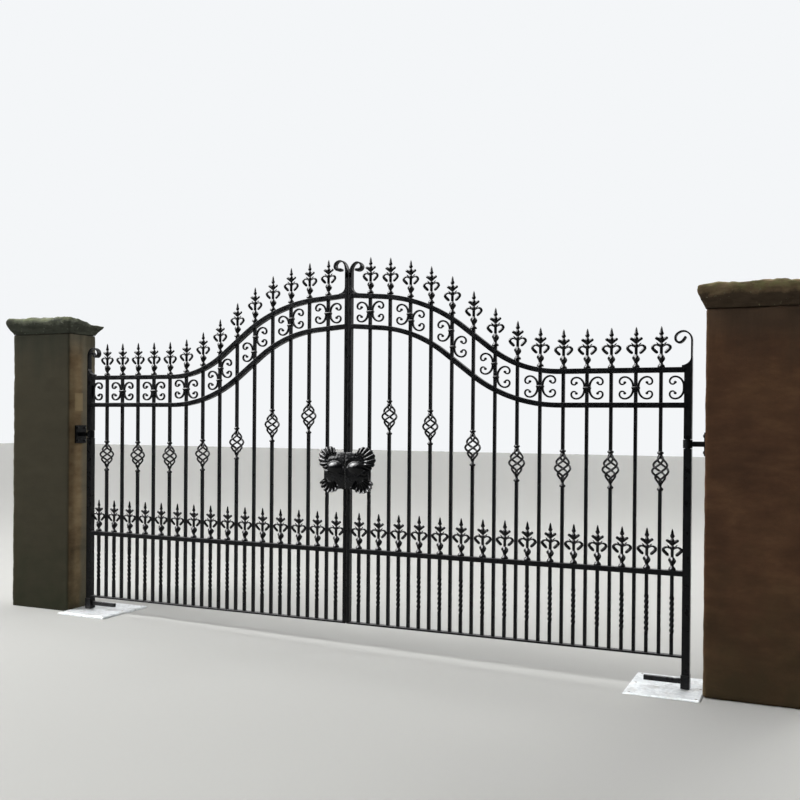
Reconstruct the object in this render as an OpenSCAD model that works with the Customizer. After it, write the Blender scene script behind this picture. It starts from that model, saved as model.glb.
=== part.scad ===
// Wrought iron driveway gate: two leaves hung between sandstone gate piers.
// Frame: origin at the centre of the left pier's foot, X along the gate, Y to the house, Z up.
// Each leaf is drawn as the right-hand one, measured from the line where the leaves meet.

/* [Leaf] */
// Pitch of the full-height bars
pitch = 116; // [100:1:135]
// Number of full-height bars in a leaf
bars = 14; // [14:2:18]
// Side of the square bars
bar = 16; // [12:1:20]
// Clear width between the hinge stile and the first bar
hinge_bay = 100; // [94:1:130]
// Clear width between the last bar and the meeting stile
meeting_bay = 98; // [92:1:120]
// Depth of stiles and rails through the gate
frame_d = 32; // [32:1:44]
// Width of the hinge stile
hinge_stile_w = 30; // [28:1:44]
// Width of a meeting stile
meeting_stile_w = 16; // [14:1:30]
// Gap between the two meeting stiles
meeting_gap = 8; // [8:1:20]
// Gap between the hinge stile and the pier
hinge_gap = 70; // [60:1:110]

/* [Rails] */
// Height of the top and middle rails' section
rail_h = 25; // [20:1:32]
// Thickness of the bottom rail
bottom_rail_h = 10; // [8:1:16]
// Height of the bottom rail's axis above the lowest ground
bottom_z = 155; // [130:1:220]
// Middle rail's axis above the bottom rail's
middle_rise = 385; // [330:1:460]
// Upper top rail's axis above the bottom rail's, along its level part
shoulder_rise = 1328; // [1150:1:1600]
// Distance between the axes of the two top rails
band = 164; // [150:1:190]

/* [Swan neck] */
// Length of the nearly level crown, from the meeting line
crown_run = 200; // [160:1:240]
// Slope of the crown
crown_slope = 4.5; // [3:0.5:8]
// Radius of the upper rail's shoulder bend
crown_r = 850; // [700:1:950]
// Slope of the steepest part
main_slope = 37.5; // [28:0.5:40]
// Length of the steepest part
main_run = 189; // [100:1:240]
// Radius of the upper rail's lower bend
dip_r = 575; // [450:1:650]

/* [Piers] */
// Width of a pier along the gate
pier_w = 450; // [350:1:560]
// Depth of a pier
pier_d = 230; // [220:1:400]
// Distance of the gate's middle plane behind the pier's street face
pier_front = 96; // [90:1:120]
// Height of the pier's shaft above the bottom rail's axis
pier_rise = 1598; // [1450:1:1900]
// Overhang of the cap
cap_over = 38; // [20:1:80]
// Thickness of the cap
cap_t = 120; // [90:1:160]
// Height of the left floor box's lid over the lowest ground
left_ground = 75; // [5:1:90]
// Height of the right floor box's lid over the lowest ground
right_ground = 5; // [5:1:90]

/* [Ornament] */
// Height of a fleur-de-lis finial
finial_h = 192; // [150:1:200]
// Height of the twisted rods of a basket
basket_h = 120; // [90:1:150]
// Largest diameter of a basket, measured on the rods' axes
basket_d = 70; // [50:1:78]
// Place of the basket between the middle rail and the lower top rail
basket_share = 0.605; // [0.5:0.005:0.7]
// Quarter turns in a twisted bar
quarter_turns = 7; // [4:1:9]
// Share of a short bar that is twisted
twist_share = 0.48; // [0.3:0.01:0.6]
// Thickness of the scrolls' flat bar at the back
scroll_t = 8; // [6:0.5:10]
// Thickness of that bar at its thinned ends
scroll_end_t = 5; // [3:0.5:6]
// Thickness of the flat bar curled on top of the stiles
curl_t = 7; // [5:0.5:9]
// Thickness of that bar at the curl's end
curl_end_t = 10; // [6:0.5:14]
// Height of the lock's middle above the bottom rail's axis
lock_rise = 803; // [740:1:860]

/* [Hinges] */
// Middle of the top hinge below the upper top rail's axis
hinge_drop = 343; // [290:1:450]
// Radius of the journals
journal_r = 13; // [11:0.5:14]
// Radial running clearance of the journals
running = 0.05; // [0.02:0.01:0.1]
// Height of the shoe under the hinge stile
shoe_h = 62; // [50:1:70]
// Length of the lever arm on the shoe
lever_l = 190; // [140:1:220]
// Width of the floor box along the gate
box_w = 340; // [300:1:380]
// Depth of the floor box across the gate
box_d = 400; // [300:1:450]

/* [Hidden] */

iron = "#1d2023";
sandstone = "#8c7a66";
zinc = "#b9bcbd";

// Distances along X from the meeting line
meet_x = meeting_gap / 2;
stile_in = meet_x + meeting_stile_w;
last_x = stile_in + meeting_bay + bar / 2;
first_x = last_x + (bars - 1) * pitch;
hinge_in = first_x + bar / 2 + hinge_bay;
axis_x = hinge_in + hinge_stile_w / 2;
hinge_out = hinge_in + hinge_stile_w;
pier_x = hinge_out + hinge_gap;
gate_x = pier_w / 2 + pier_x;
gate_y = pier_front - pier_d / 2;

// Heights above the lowest ground
middle_z = bottom_z + middle_rise;
shoulder_z = bottom_z + shoulder_rise;
pier_z = bottom_z + pier_rise;
hinge_z = shoulder_z - hinge_drop;
lock_z = bottom_z + lock_rise;
bottom_top_z = bottom_z + bottom_rail_h / 2;
middle_top_z = middle_z + rail_h / 2;

// Small seats and clearances
sink = 3;
stub = 1;
lift = 6;
thrust_gap = 0.3;
arc_step = 4;

// Full-height bars, counted from the hinge
picket_x = [for (k = [0:bars - 1]) first_x - k * pitch];
// Edges that bound the bays, from the hinge stile to the meeting stile
bay_hi = [for (k = [0:bars]) k == 0 ? hinge_in : picket_x[k - 1] - bar / 2];
bay_lo = [for (k = [0:bars]) k == bars ? stile_in : picket_x[k] + bar / 2];
dog_x = [for (k = [0:bars]) (bay_hi[k] + bay_lo[k]) / 2];

// The swan neck: a curve at distance d under the upper top rail's axis
crown_z = shoulder_z + crown_run * tan(crown_slope) + crown_r * (cos(crown_slope) - cos(main_slope))
  + main_run * sin(main_slope) + dip_r * (1 - cos(main_slope));
p1 = [crown_run, crown_z - crown_run * tan(crown_slope)];
c1 = p1 - crown_r * [sin(crown_slope), cos(crown_slope)];
p2 = c1 + crown_r * [sin(main_slope), cos(main_slope)];
p3 = p2 + main_run * [cos(main_slope), -sin(main_slope)];
c2 = p3 + dip_r * [sin(main_slope), cos(main_slope)];

bend_slope = main_slope - crown_slope;
crown_steps = ceil(bend_slope / arc_step);
dip_steps = ceil(main_slope / arc_step);
function neck_points(d) = concat(
  [[stile_in, neck_z(stile_in, d)]],
  [for (i = [0:crown_steps])
    let (a = crown_slope + bend_slope * i / crown_steps) c1 + (crown_r - d) * [sin(a), cos(a)]],
  [for (i = [0:dip_steps])
    let (a = main_slope * (1 - i / dip_steps)) c2 - (dip_r + d) * [sin(a), cos(a)]],
  [[hinge_in, shoulder_z - d]]);

function neck_z(x, d) =
  let (ra = crown_r - d, rb = dip_r + d,
       start = c1 + ra * [sin(crown_slope), cos(crown_slope)],
       bottom = c2 - rb * [sin(main_slope), cos(main_slope)])
  x < start[0] ? start[1] - (x - start[0]) * tan(crown_slope)
  : x < c1[0] + ra * sin(main_slope) ? c1[1] + sqrt(ra * ra - pow(x - c1[0], 2))
  : x < bottom[0] ? bottom[1] - (x - bottom[0]) * tan(main_slope)
  : x < c2[0] ? c2[1] - sqrt(rb * rb - pow(x - c2[0], 2))
  : shoulder_z - d;

function reversed(list) = [for (i = [len(list) - 1:-1:0]) list[i]];

// Top of a full-height bar, just above the rail's highest edge under the finial's foot
function finial_z(x) = max(neck_z(x - frame_d / 2, -rail_h / 2), neck_z(x + frame_d / 2, -rail_h / 2))
  + (x - frame_d / 2 < c2[0] ? stub : 0);
function basket_z(x) = middle_z + basket_share * (neck_z(x, band) - middle_z);
basket_end = basket_h / 2 + 24;

// Placing
module right_leaf() { translate([gate_x, gate_y, 0]) children(); }
module left_leaf() { translate([gate_x, gate_y, 0]) mirror([1, 0, 0]) children(); }
module slab(depth) { rotate([90, 0, 0]) translate([0, 0, -depth / 2]) linear_extrude(depth) children(); }
module square_bar(x, z0, z1, side = bar) {
  translate([x - side / 2, -side / 2, z0]) cube([side, side, z1 - z0]);
}

// Rails
module neck_rail(d) {
  difference() {
    slab(frame_d) polygon(concat(neck_points(d - rail_h / 2), reversed(neck_points(d + rail_h / 2))));
    for (x = picket_x) square_bar(x, neck_z(x, d) - 2 * rail_h, neck_z(x, d) + 2 * rail_h);
  }
}
module middle_rail() {
  difference() {
    translate([stile_in, -frame_d / 2, middle_z - rail_h / 2]) cube([hinge_in - stile_in, frame_d, rail_h]);
    for (x = concat(picket_x, dog_x)) square_bar(x, middle_z - rail_h, middle_z + rail_h);
  }
}
module bottom_rail() {
  translate([stile_in, -frame_d / 2, bottom_z - bottom_rail_h / 2])
    cube([hinge_in - stile_in, frame_d, bottom_rail_h]);
}

// Stiles
scallop_r = 36;
nose_t = 8;
stile_top = shoulder_z + rail_h / 2 + nose_t;
curl_z = stile_top + scallop_r;
meeting_top = crown_z + 120;
thinned = 70;
gusset_r = 34;
module hinge_stile(ground) {
  foot = ground + lift + shoe_h - socket;
  nose = hinge_out - curl_t - scallop_r;
  difference() {
    slab(frame_d) polygon(concat(
      [[hinge_in, foot], [hinge_in, stile_top - nose_t], [nose, stile_top - nose_t]],
      [for (a = [-90:15:0]) [nose + scallop_r * cos(a), curl_z + scallop_r * sin(a)]],
      [[hinge_out, curl_z], [hinge_out, foot]]));
    translate([axis_x, 0, hinge_z - journal_h / 2]) difference() {
      translate([-hinge_stile_w, -frame_d, 0]) cube([2 * hinge_stile_w, 2 * frame_d, journal_h]);
      cylinder(h = journal_h, r = journal_r, $fn = 48);
    }
  }
}
module meeting_stile() {
  foot = neck_z(stile_in, -rail_h / 2);
  slab(frame_d) polygon(concat(
    [[meet_x, bottom_z - bottom_rail_h / 2], [meet_x, meeting_top], [meet_x + curl_t, meeting_top],
     [stile_in, meeting_top - thinned]],
    [for (a = [180:15:270]) [stile_in + gusset_r * (1 + cos(a)), foot + gusset_r * (1 + sin(a))]],
    [[stile_in + gusset_r, neck_z(stile_in + gusset_r, -rail_h / 2)], [stile_in, foot]],
    [[stile_in, bottom_z - bottom_rail_h / 2]]));
}

// Flat bar bent along a path, and the open curls that end the stiles
function unit(v) = v / norm(v);
function bend(path, thick, side) = [for (i = [0:len(path) - 1])
  let (t = unit(path[min(i + 1, len(path) - 1)] - path[max(i - 1, 0)]))
  path[i] + side * thick[i] / 2 * [-t[1], t[0]]];
module strip(path, thick, depth) {
  slab(depth) polygon(concat(bend(path, thick, 1), reversed(bend(path, thick, -1))));
}
function graded(count, from, to) = [for (i = [0:count - 1]) from + (to - from) * i / (count - 1)];
function curl_path(rise, centre, r_end, r_start, turn) = concat(
  [[0, 0], [0, rise * 0.5], [0, rise]],
  [for (t = [12:18:turn]) let (r = r_end + (r_start - r_end) * exp(-t / 45))
    [centre[0] - r * cos(t), centre[1] + r * sin(t)]]);
module curl(path) { strip(path, graded(len(path), curl_t, curl_end_t), frame_d); }
module hinge_stile_curl() {
  translate([hinge_out - curl_t / 2, 0, curl_z]) mirror([1, 0, 0])
    curl(curl_path(90, [60, 100], 28, 61, 320));
}
module meeting_stile_curl() {
  translate([meet_x + curl_t / 2, 0, meeting_top]) curl(curl_path(14, [48, 34], 25, 48, 300));
}

// Bars
module pickets() {
  for (k = [0:bars - 1]) {
    x = picket_x[k];
    if (k % 2 == 0) {
      square_bar(x, bottom_top_z, basket_z(x) - basket_end);
      square_bar(x, basket_z(x) + basket_end, finial_z(x));
    } else {
      square_bar(x, bottom_top_z, finial_z(x));
    }
  }
}
module dog_bars() {
  clear = middle_z - rail_h / 2 - bottom_top_z;
  twisted = clear * twist_share;
  plain = (clear - twisted) / 2;
  for (x = dog_x) {
    square_bar(x, bottom_top_z, bottom_top_z + plain);
    translate([x, 0, bottom_top_z + plain])
      linear_extrude(twisted, twist = 90 * quarter_turns, slices = 2 * quarter_turns, segments = 4)
        square(bar, center = true);
    square_bar(x, bottom_top_z + plain + twisted, middle_top_z);
  }
}

// Basket twist: four rods swept round an axis between two knuckles
rod_r = 4;
rod_sides = 5;
rod_rings = 9;
rod_turn = 300;
function rod_at(u, start) =
  let (swell = pow(sin(180 * u), 0.9), r = 6 + (basket_d / 2 - 6) * swell, a = start + rod_turn * u)
  [r * cos(a), r * sin(a), (u - 0.5) * (basket_h + 2 * sink)];
function rod_ring(i, start) =
  let (u = i / (rod_rings - 1), e = 0.01,
       t = i == 0 || i == rod_rings - 1 ? [0, 0, 1] : unit(rod_at(u + e, start) - rod_at(u - e, start)),
       s = unit(cross(t, [rod_at(u, start)[0], rod_at(u, start)[1], 0])), n = cross(t, s))
  [for (j = [0:rod_sides - 1]) rod_at(u, start)
    + rod_r * (cos(360 * j / rod_sides) * s + sin(360 * j / rod_sides) * n)];
module basket_rod(start) {
  points = [for (i = [0:rod_rings - 1]) each rod_ring(i, start)];
  walls = [for (i = [0:rod_rings - 2], j = [0:rod_sides - 1])
    let (a = i * rod_sides + j, b = i * rod_sides + (j + 1) % rod_sides)
    each [[a, b, b + rod_sides], [a, b + rod_sides, a + rod_sides]]];
  low = [for (j = [rod_sides - 1:-1:0]) j];
  high = [for (j = [0:rod_sides - 1]) (rod_rings - 1) * rod_sides + j];
  polyhedron(points, [for (f = concat(walls, [low, high])) reversed(f)]);
}
module knuckle() {
  rotate_extrude($fn = 24)
    polygon([[0, 0], [11, 0], [11, 4], [9, 8], [12.5, 12], [12.5, 18], [9, 22], [9, 24], [0, 24]]);
}
module baskets() {
  for (k = [0:2:bars - 1]) translate([picket_x[k], 0, basket_z(picket_x[k])]) {
    for (q = [0:3]) basket_rod(90 * q + 45);
    translate([0, 0, basket_h / 2]) knuckle();
    translate([0, 0, -basket_h / 2]) mirror([0, 0, 1]) knuckle();
  }
}

// Fleur-de-lis casting, drawn 90 wide and 192 high, and scaled to fit the narrowest bay
finial_gap = 1;
finial_w = min(pitch - bar, hinge_bay, meeting_bay) - 2 * finial_gap;
module half_lily() {
  polygon([[0, 95], [12, 103], [19, 108], [28, 107], [33, 97], [23, 80], [17, 81], [17, 68], [29, 75],
           [43, 91], [45, 99], [38, 111], [27, 113.5], [12, 108], [0, 101]]);
  polygon([[0, 117], [16, 130], [29, 138], [26, 144], [16, 141], [0, 154]]);
  polygon([[0, 146], [4, 148], [10.5, 159], [6, 164], [3.5, 169], [0, 192]]);
}
module finial() {
  scale([finial_w / 90, finial_w / 90, finial_h / 192]) {
    rotate_extrude($fn = 24) polygon([[0, 0], [16, 0], [16, 7], [7.5, 20], [13, 36], [14.5, 46],
                                      [12, 55], [5.5, 63], [5.5, 102], [9, 105], [9, 109], [5.5, 112],
                                      [4, 150], [0, 150]]);
    slab(8) half_lily();
    slab(8) mirror([1, 0]) half_lily();
  }
}
module picket_finials() {
  for (x = picket_x) translate([x, 0, finial_z(x)]) finial();
}
module dog_finials() {
  for (x = dog_x) translate([x, 0, middle_top_z]) finial();
}

// C-scrolls: a flat bar whose radius shrinks as it turns, backed on a bar or on the stile.
// It starts at the collar's edge, is highest after a quarter turn and stays clear of both rails.
coil_k = 0.38;
coil_turn = 320;
scroll_d = 14;
scroll_gap = 14;
collar_h = 12;
collar_t = 3;
level_step = 20;
scroll_half = (band - rail_h) / 2 - scroll_gap;
coil_r = (scroll_half - collar_h / 2 - scroll_t / 2) * (1 + coil_k * coil_k)
  / (exp(-coil_k * PI / 2) + coil_k);
function coil(a) =
  let (e = exp(-coil_k * a * PI / 180), n = 1 + coil_k * coil_k)
  [coil_r / n * (1 - e * (cos(a) + coil_k * sin(a))),
   collar_h / 2 + coil_r / n * (e * (sin(a) - coil_k * cos(a)) + coil_k)];
module c_scroll() {
  half = [for (a = [0:20:coil_turn]) coil(a)];
  thick = graded(len(half), scroll_t, scroll_end_t);
  translate([scroll_t / 2, 0, 0]) {
    strip(concat(reversed([for (p = half) [p[0], -p[1]]]), half), concat(reversed(thick), thick), scroll_d);
    for (s = [-1, 1]) translate([coil(coil_turn)[0], 0, s * coil(coil_turn)[1]])
      rotate([90, 0, 0]) cylinder(h = scroll_d + 2, r = 5.5, center = true, $fn = 24);
  }
}
// Two scrolls share every other bar, and are level with each other where the rails hardly slope
function backs_low(k) = k % 2 == 1;
function scroll_back(k) = backs_low(k) ? bay_lo[k] : bay_hi[k];
function bay_z(k) = neck_z(dog_x[k], band / 2);
function mate(k) = k == 0 ? 0 : backs_low(k) ? k + 1 : k - 1;
function scroll_z(k) =
  abs(bay_z(mate(k)) - bay_z(k)) < level_step ? (bay_z(mate(k)) + bay_z(k)) / 2 : bay_z(k);
module c_scrolls() {
  for (k = [0:bars]) translate([scroll_back(k), 0, scroll_z(k)])
    mirror([backs_low(k) ? 0 : 1, 0, 0]) c_scroll();
}
// Collars wrap a bar with the scrolls on it: one for both where they are level, else one each
module collar(x, z, lo, hi) {
  translate([x, 0, z]) difference() {
    translate([-bar / 2 - lo - collar_t, -bar / 2 - collar_t, -collar_h / 2])
      cube([bar + lo + hi + 2 * collar_t, bar + 2 * collar_t, collar_h]);
    translate([-bar / 2, -bar / 2, -collar_h]) cube([bar, bar, 2 * collar_h]);
    translate([-bar / 2 - lo, -scroll_d / 2, -collar_h]) cube([bar + lo + hi, scroll_d, 2 * collar_h]);
  }
}
module collars() {
  for (k = [1:2:bars - 1]) {
    x = picket_x[k];
    if (abs(scroll_z(k) - scroll_z(k + 1)) < 1) {
      collar(x, scroll_z(k), scroll_t, scroll_t);
    } else {
      collar(x, scroll_z(k), 0, scroll_t);
      collar(x, scroll_z(k + 1), scroll_t, 0);
    }
  }
}

// Shell-shaped lock cover, one half on each meeting stile, with a ribbed fan above and below
shell_t = 26;
shell_back = bar / 2 + 1.5;
shell_front = frame_d / 2 + shell_t;
shell_r = 300;
boss = [60, 22];
boss_r = 50;
boss_out = 8;
fan_t = 5;
fan_notch = 6;
// How much of its share of the fan a rib's round takes up
rib_fill = 0.94;
fan_apex = [60, 52];
fan_disc = [103, 72];
fan_disc_r = 67;
foot_apex = [80, -13];
foot_disc = [98, -42];
foot_disc_r = 58;
module outward(from, to) {
  translate([0, -from, 0]) rotate([90, 0, 0]) linear_extrude(to - from) children();
}
function reach(apex, disc, disc_r, a) =
  let (away = disc - apex, along = away[0] * cos(a) + away[1] * sin(a))
  along + sqrt(disc_r * disc_r - away * away + along * along);
module fan(apex, disc, disc_r, from, to, count) {
  step = (to - from) / (count - 1);
  outward(shell_back, shell_back + fan_t) polygon(concat([apex],
    [for (i = [0:count - 1], e = [-0.48, 0, 0.48])
      let (a = from + (i + e) * step, q = reach(apex, disc, disc_r, a) - (e == 0 ? 0 : fan_notch))
      apex + q * [cos(a), sin(a)]]));
  difference() {
    for (i = [0:count - 1]) {
      a = from + i * step;
      q = reach(apex, disc, disc_r, a) - 1;
      translate([apex[0], -shell_back, apex[1]]) rotate([0, 90 - a, 0])
        cylinder(h = q, r1 = 1.5, r2 = q * sin(abs(step) / 2) * rib_fill, $fn = 24);
    }
    translate([disc[0] - 2 * disc_r, -shell_back, disc[1] - 2 * disc_r])
      cube([4 * disc_r, shell_front, 4 * disc_r]);
  }
}
module lock_shell() {
  translate([0, 0, lock_z]) difference() {
    union() {
      intersection() {
        outward(shell_back, shell_front + 2 * boss_out)
          polygon([[meet_x, -82], [meet_x, 108], [74, 108], [128, 60], [130, 10], [134, -45], [120, -90],
                   [58, -96]]);
        union() {
          translate([meeting_stile_w, shell_r - shell_front, 0]) sphere(r = shell_r, $fn = 96);
          translate([boss[0], boss_r - shell_front - boss_out, boss[1]]) sphere(r = boss_r, $fn = 64);
        }
      }
      fan(fan_apex, fan_disc, fan_disc_r, 82, -22, 8);
      fan(foot_apex, foot_disc, foot_disc_r, -28, -118, 7);
    }
    outward(0, 2 * shell_front) translate([47, 124]) circle(r = 27, $fn = 48);
    outward(0, 2 * shell_front) translate([33, -118]) circle(r = 37, $fn = 48);
    // The stile itself
    translate([0, -frame_d / 2, -lock_z]) cube([stile_in, frame_d, 2 * lock_z]);
  }
}

// Hinges
journal_h = 44;
ring_h = 40;
ring_r = 25;
plate_t = 8;
socket = 25;
pin_h = 30;
pin_r = 12;
lever_z = 30;
module hinge_bracket() {
  translate([0, 0, hinge_z]) difference() {
    union() {
      translate([pier_x - plate_t, -45, -50]) cube([plate_t, 90, 100]);
      translate([axis_x, -12, -12]) cube([pier_x - axis_x, 24, 24]);
      translate([axis_x, 0, -ring_h / 2]) cylinder(h = ring_h, r = ring_r, $fn = 64);
    }
    translate([axis_x, 0, -ring_h]) cylinder(h = 2 * ring_h, r = journal_r + running, $fn = 48);
  }
}
module pivot_shoe(ground) {
  base = ground + lift;
  wide = hinge_stile_w + 14;
  difference() {
    union() {
      translate([axis_x - wide / 2, -wide / 2, base]) cube([wide, wide, shoe_h]);
      translate([0, 0, base]) slab(20) polygon([[axis_x - lever_l, lever_z - 18], [axis_x, lever_z - 18],
        [axis_x, lever_z + 24], [axis_x - wide / 2 - 24, lever_z + 16], [axis_x - lever_l, lever_z + 16]]);
    }
    translate([hinge_in, -frame_d / 2, base + shoe_h - socket]) cube([hinge_stile_w, frame_d, shoe_h]);
    translate([axis_x, 0, base - 1])
      cylinder(h = pin_h + thrust_gap - lift + 1, r = pin_r + running, $fn = 48);
  }
}
module pivot_pin(ground) {
  translate([axis_x, 0, ground]) cylinder(h = pin_h, r = pin_r, $fn = 48);
}
module floor_box(ground) {
  translate([pier_x - box_w, -gate_y - box_d / 2, 0]) cube([box_w, box_d, ground]);
}

// Piers
module pier() {
  c = 8;
  translate([pier_x, -pier_front, 0]) linear_extrude(pier_z) polygon([[c, 0], [pier_w - c, 0], [pier_w, c],
    [pier_w, pier_d - c], [pier_w - c, pier_d], [c, pier_d], [0, pier_d - c], [0, c]]);
}
function cap_side(w) = concat([[w / 2 + 4, 0]],
  [for (a = [0:15:90]) [w / 2 + 4 + (cap_over - 4) * sin(a), 10 + (cap_t * 0.3) * (1 - cos(a))]],
  [[w / 2 + cap_over, cap_t - 26]],
  [for (a = [0:22.5:90]) [w / 2 + cap_over - 14 * (1 - cos(a)), cap_t - 26 + 14 * sin(a)]],
  [[w / 4, cap_t]]);
module cap_profile(w, l) {
  rotate([90, 0, 0]) translate([0, 0, -l / 2 - cap_over]) linear_extrude(l + 2 * cap_over)
    polygon(concat(cap_side(w), reversed([for (p = cap_side(w)) [-p[0], p[1]]])));
}
module pier_cap() {
  translate([pier_x + pier_w / 2, pier_d / 2 - pier_front, pier_z]) intersection() {
    cap_profile(pier_w, pier_d);
    rotate([0, 0, 90]) cap_profile(pier_d, pier_w);
  }
}

module left_pier() { color(sandstone) left_leaf() pier(); }
module right_pier() { color(sandstone) right_leaf() pier(); }
module left_pier_cap() { color(sandstone) left_leaf() pier_cap(); }
module right_pier_cap() { color(sandstone) right_leaf() pier_cap(); }
module left_hinge_bracket() { color(iron) left_leaf() hinge_bracket(); }
module right_hinge_bracket() { color(iron) right_leaf() hinge_bracket(); }
module left_floor_box() { color(zinc) left_leaf() floor_box(left_ground); }
module right_floor_box() { color(zinc) right_leaf() floor_box(right_ground); }
module left_pivot_pin() { color(zinc) left_leaf() pivot_pin(left_ground); }
module right_pivot_pin() { color(zinc) right_leaf() pivot_pin(right_ground); }
module left_hinge_stile() { color(iron) left_leaf() hinge_stile(left_ground); }
module right_hinge_stile() { color(iron) right_leaf() hinge_stile(right_ground); }
module left_hinge_stile_curl() { color(iron) left_leaf() hinge_stile_curl(); }
module right_hinge_stile_curl() { color(iron) right_leaf() hinge_stile_curl(); }
module left_meeting_stile() { color(iron) left_leaf() meeting_stile(); }
module right_meeting_stile() { color(iron) right_leaf() meeting_stile(); }
module left_meeting_stile_curl() { color(iron) left_leaf() meeting_stile_curl(); }
module right_meeting_stile_curl() { color(iron) right_leaf() meeting_stile_curl(); }
module left_upper_top_rail() { color(iron) left_leaf() neck_rail(0); }
module right_upper_top_rail() { color(iron) right_leaf() neck_rail(0); }
module left_lower_top_rail() { color(iron) left_leaf() neck_rail(band); }
module right_lower_top_rail() { color(iron) right_leaf() neck_rail(band); }
module left_middle_rail() { color(iron) left_leaf() middle_rail(); }
module right_middle_rail() { color(iron) right_leaf() middle_rail(); }
module left_bottom_rail() { color(iron) left_leaf() bottom_rail(); }
module right_bottom_rail() { color(iron) right_leaf() bottom_rail(); }
module left_pickets() { color(iron) left_leaf() pickets(); }
module right_pickets() { color(iron) right_leaf() pickets(); }
module left_dog_bars() { color(iron) left_leaf() dog_bars(); }
module right_dog_bars() { color(iron) right_leaf() dog_bars(); }
module left_baskets() { color(iron) left_leaf() baskets(); }
module right_baskets() { color(iron) right_leaf() baskets(); }
module left_picket_finials() { color(iron) left_leaf() picket_finials(); }
module right_picket_finials() { color(iron) right_leaf() picket_finials(); }
module left_dog_finials() { color(iron) left_leaf() dog_finials(); }
module right_dog_finials() { color(iron) right_leaf() dog_finials(); }
module left_c_scrolls() { color(iron) left_leaf() c_scrolls(); }
module right_c_scrolls() { color(iron) right_leaf() c_scrolls(); }
module left_collars() { color(iron) left_leaf() collars(); }
module right_collars() { color(iron) right_leaf() collars(); }
module left_lock_shell() { color(iron) left_leaf() lock_shell(); }
module right_lock_shell() { color(iron) right_leaf() lock_shell(); }
module left_pivot_shoe() { color(iron) left_leaf() pivot_shoe(left_ground); }
module right_pivot_shoe() { color(iron) right_leaf() pivot_shoe(right_ground); }

left_pier();
right_pier();
left_pier_cap();
right_pier_cap();
left_hinge_bracket();
right_hinge_bracket();
left_floor_box();
right_floor_box();
left_pivot_pin();
right_pivot_pin();
left_hinge_stile();
right_hinge_stile();
left_hinge_stile_curl();
right_hinge_stile_curl();
left_meeting_stile();
right_meeting_stile();
left_meeting_stile_curl();
right_meeting_stile_curl();
left_upper_top_rail();
right_upper_top_rail();
left_lower_top_rail();
right_lower_top_rail();
left_middle_rail();
right_middle_rail();
left_bottom_rail();
right_bottom_rail();
left_pickets();
right_pickets();
left_dog_bars();
right_dog_bars();
left_baskets();
right_baskets();
left_picket_finials();
right_picket_finials();
left_dog_finials();
right_dog_finials();
left_c_scrolls();
right_c_scrolls();
left_collars();
right_collars();
left_lock_shell();
right_lock_shell();
left_pivot_shoe();
right_pivot_shoe();
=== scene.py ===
import bpy
import bmesh
import math
from mathutils import Matrix, Vector, noise


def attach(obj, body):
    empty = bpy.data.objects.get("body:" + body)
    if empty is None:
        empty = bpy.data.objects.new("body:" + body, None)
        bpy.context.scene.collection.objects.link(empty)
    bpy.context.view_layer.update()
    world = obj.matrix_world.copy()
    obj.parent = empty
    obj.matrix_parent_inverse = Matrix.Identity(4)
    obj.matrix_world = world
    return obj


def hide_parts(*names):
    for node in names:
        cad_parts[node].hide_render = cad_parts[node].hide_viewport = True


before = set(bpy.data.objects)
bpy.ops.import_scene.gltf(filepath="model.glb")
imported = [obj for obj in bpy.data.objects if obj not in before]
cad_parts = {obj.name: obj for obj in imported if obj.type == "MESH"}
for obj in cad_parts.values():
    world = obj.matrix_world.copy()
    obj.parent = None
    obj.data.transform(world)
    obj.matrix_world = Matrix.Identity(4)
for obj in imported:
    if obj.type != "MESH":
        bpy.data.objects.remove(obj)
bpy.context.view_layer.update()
print("stage: frame loaded,", len(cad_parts), "nodes")

mm = 0.001
scene = bpy.context.scene
sides = {"left": -1, "right": 1}

# The gate's setting-out, in millimetres: x runs from the line where the leaves meet to the hinge,
# y from the street to the house, and z up from the lowest ground. bury is how far rails run into stiles.
gate = {
    "centreX": 2067, "planeY": -19, "pitch": 116, "bars": 14, "bar": 16,
    "hingeIn": 1742, "axisX": 1757, "pierX": 1842, "stileIn": 20, "firstX": 1634, "bury": 2,
    "bottomZ": 155, "middleZ": 540, "hingeZ": 1140, "shoulderZ": 1483, "band": 164,
    "railHeight": 25, "bottomRailHeight": 10, "depth": 32,
    "ground": {"left": 75, "right": 5},
}
swanNeck = {
    "crownRun": 200, "crownSlope": math.radians(4.5), "crownRadius": 850,
    "mainSlope": math.radians(37.5), "mainRun": 189, "dipRadius": 575, "facet": math.radians(1.5),
}


def place(side, x, y, z):
    return Vector((gate["centreX"] + sides[side] * x, gate["planeY"] + y, z)) * mm


# Setting out: the bars, the bays between them and the swan neck's height
halfBar = gate["bar"] / 2
picketX = [gate["firstX"] - gate["pitch"] * k for k in range(gate["bars"])]
bayHigh = [gate["hingeIn"]] + [x - halfBar for x in picketX]
bayLow = [x + halfBar for x in picketX] + [gate["stileIn"]]
dogX = [(high + low) / 2 for high, low in zip(bayHigh, bayLow)]
bottomTop = gate["bottomZ"] + gate["bottomRailHeight"] / 2
middleTop = gate["middleZ"] + gate["railHeight"] / 2
railStart, railEnd = gate["stileIn"] - gate["bury"], gate["hingeIn"] + gate["bury"]


def neckCentres():
    crown, main, mainRun = swanNeck["crownSlope"], swanNeck["mainSlope"], swanNeck["mainRun"]
    run, radius, dip = swanNeck["crownRun"], swanNeck["crownRadius"], swanNeck["dipRadius"]
    rise = (run * math.tan(crown) + radius * (math.cos(crown) - math.cos(main))
            + mainRun * math.sin(main) + dip * (1 - math.cos(main)))
    x1 = run - radius * math.sin(crown)
    z1 = gate["shoulderZ"] + rise - run * math.tan(crown) - radius * math.cos(crown)
    x2 = x1 + (radius + dip) * math.sin(main) + mainRun * math.cos(main)
    return x1, z1, x2, gate["shoulderZ"] + dip


crownX, crownZ, dipX, dipZ = neckCentres()


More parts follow.
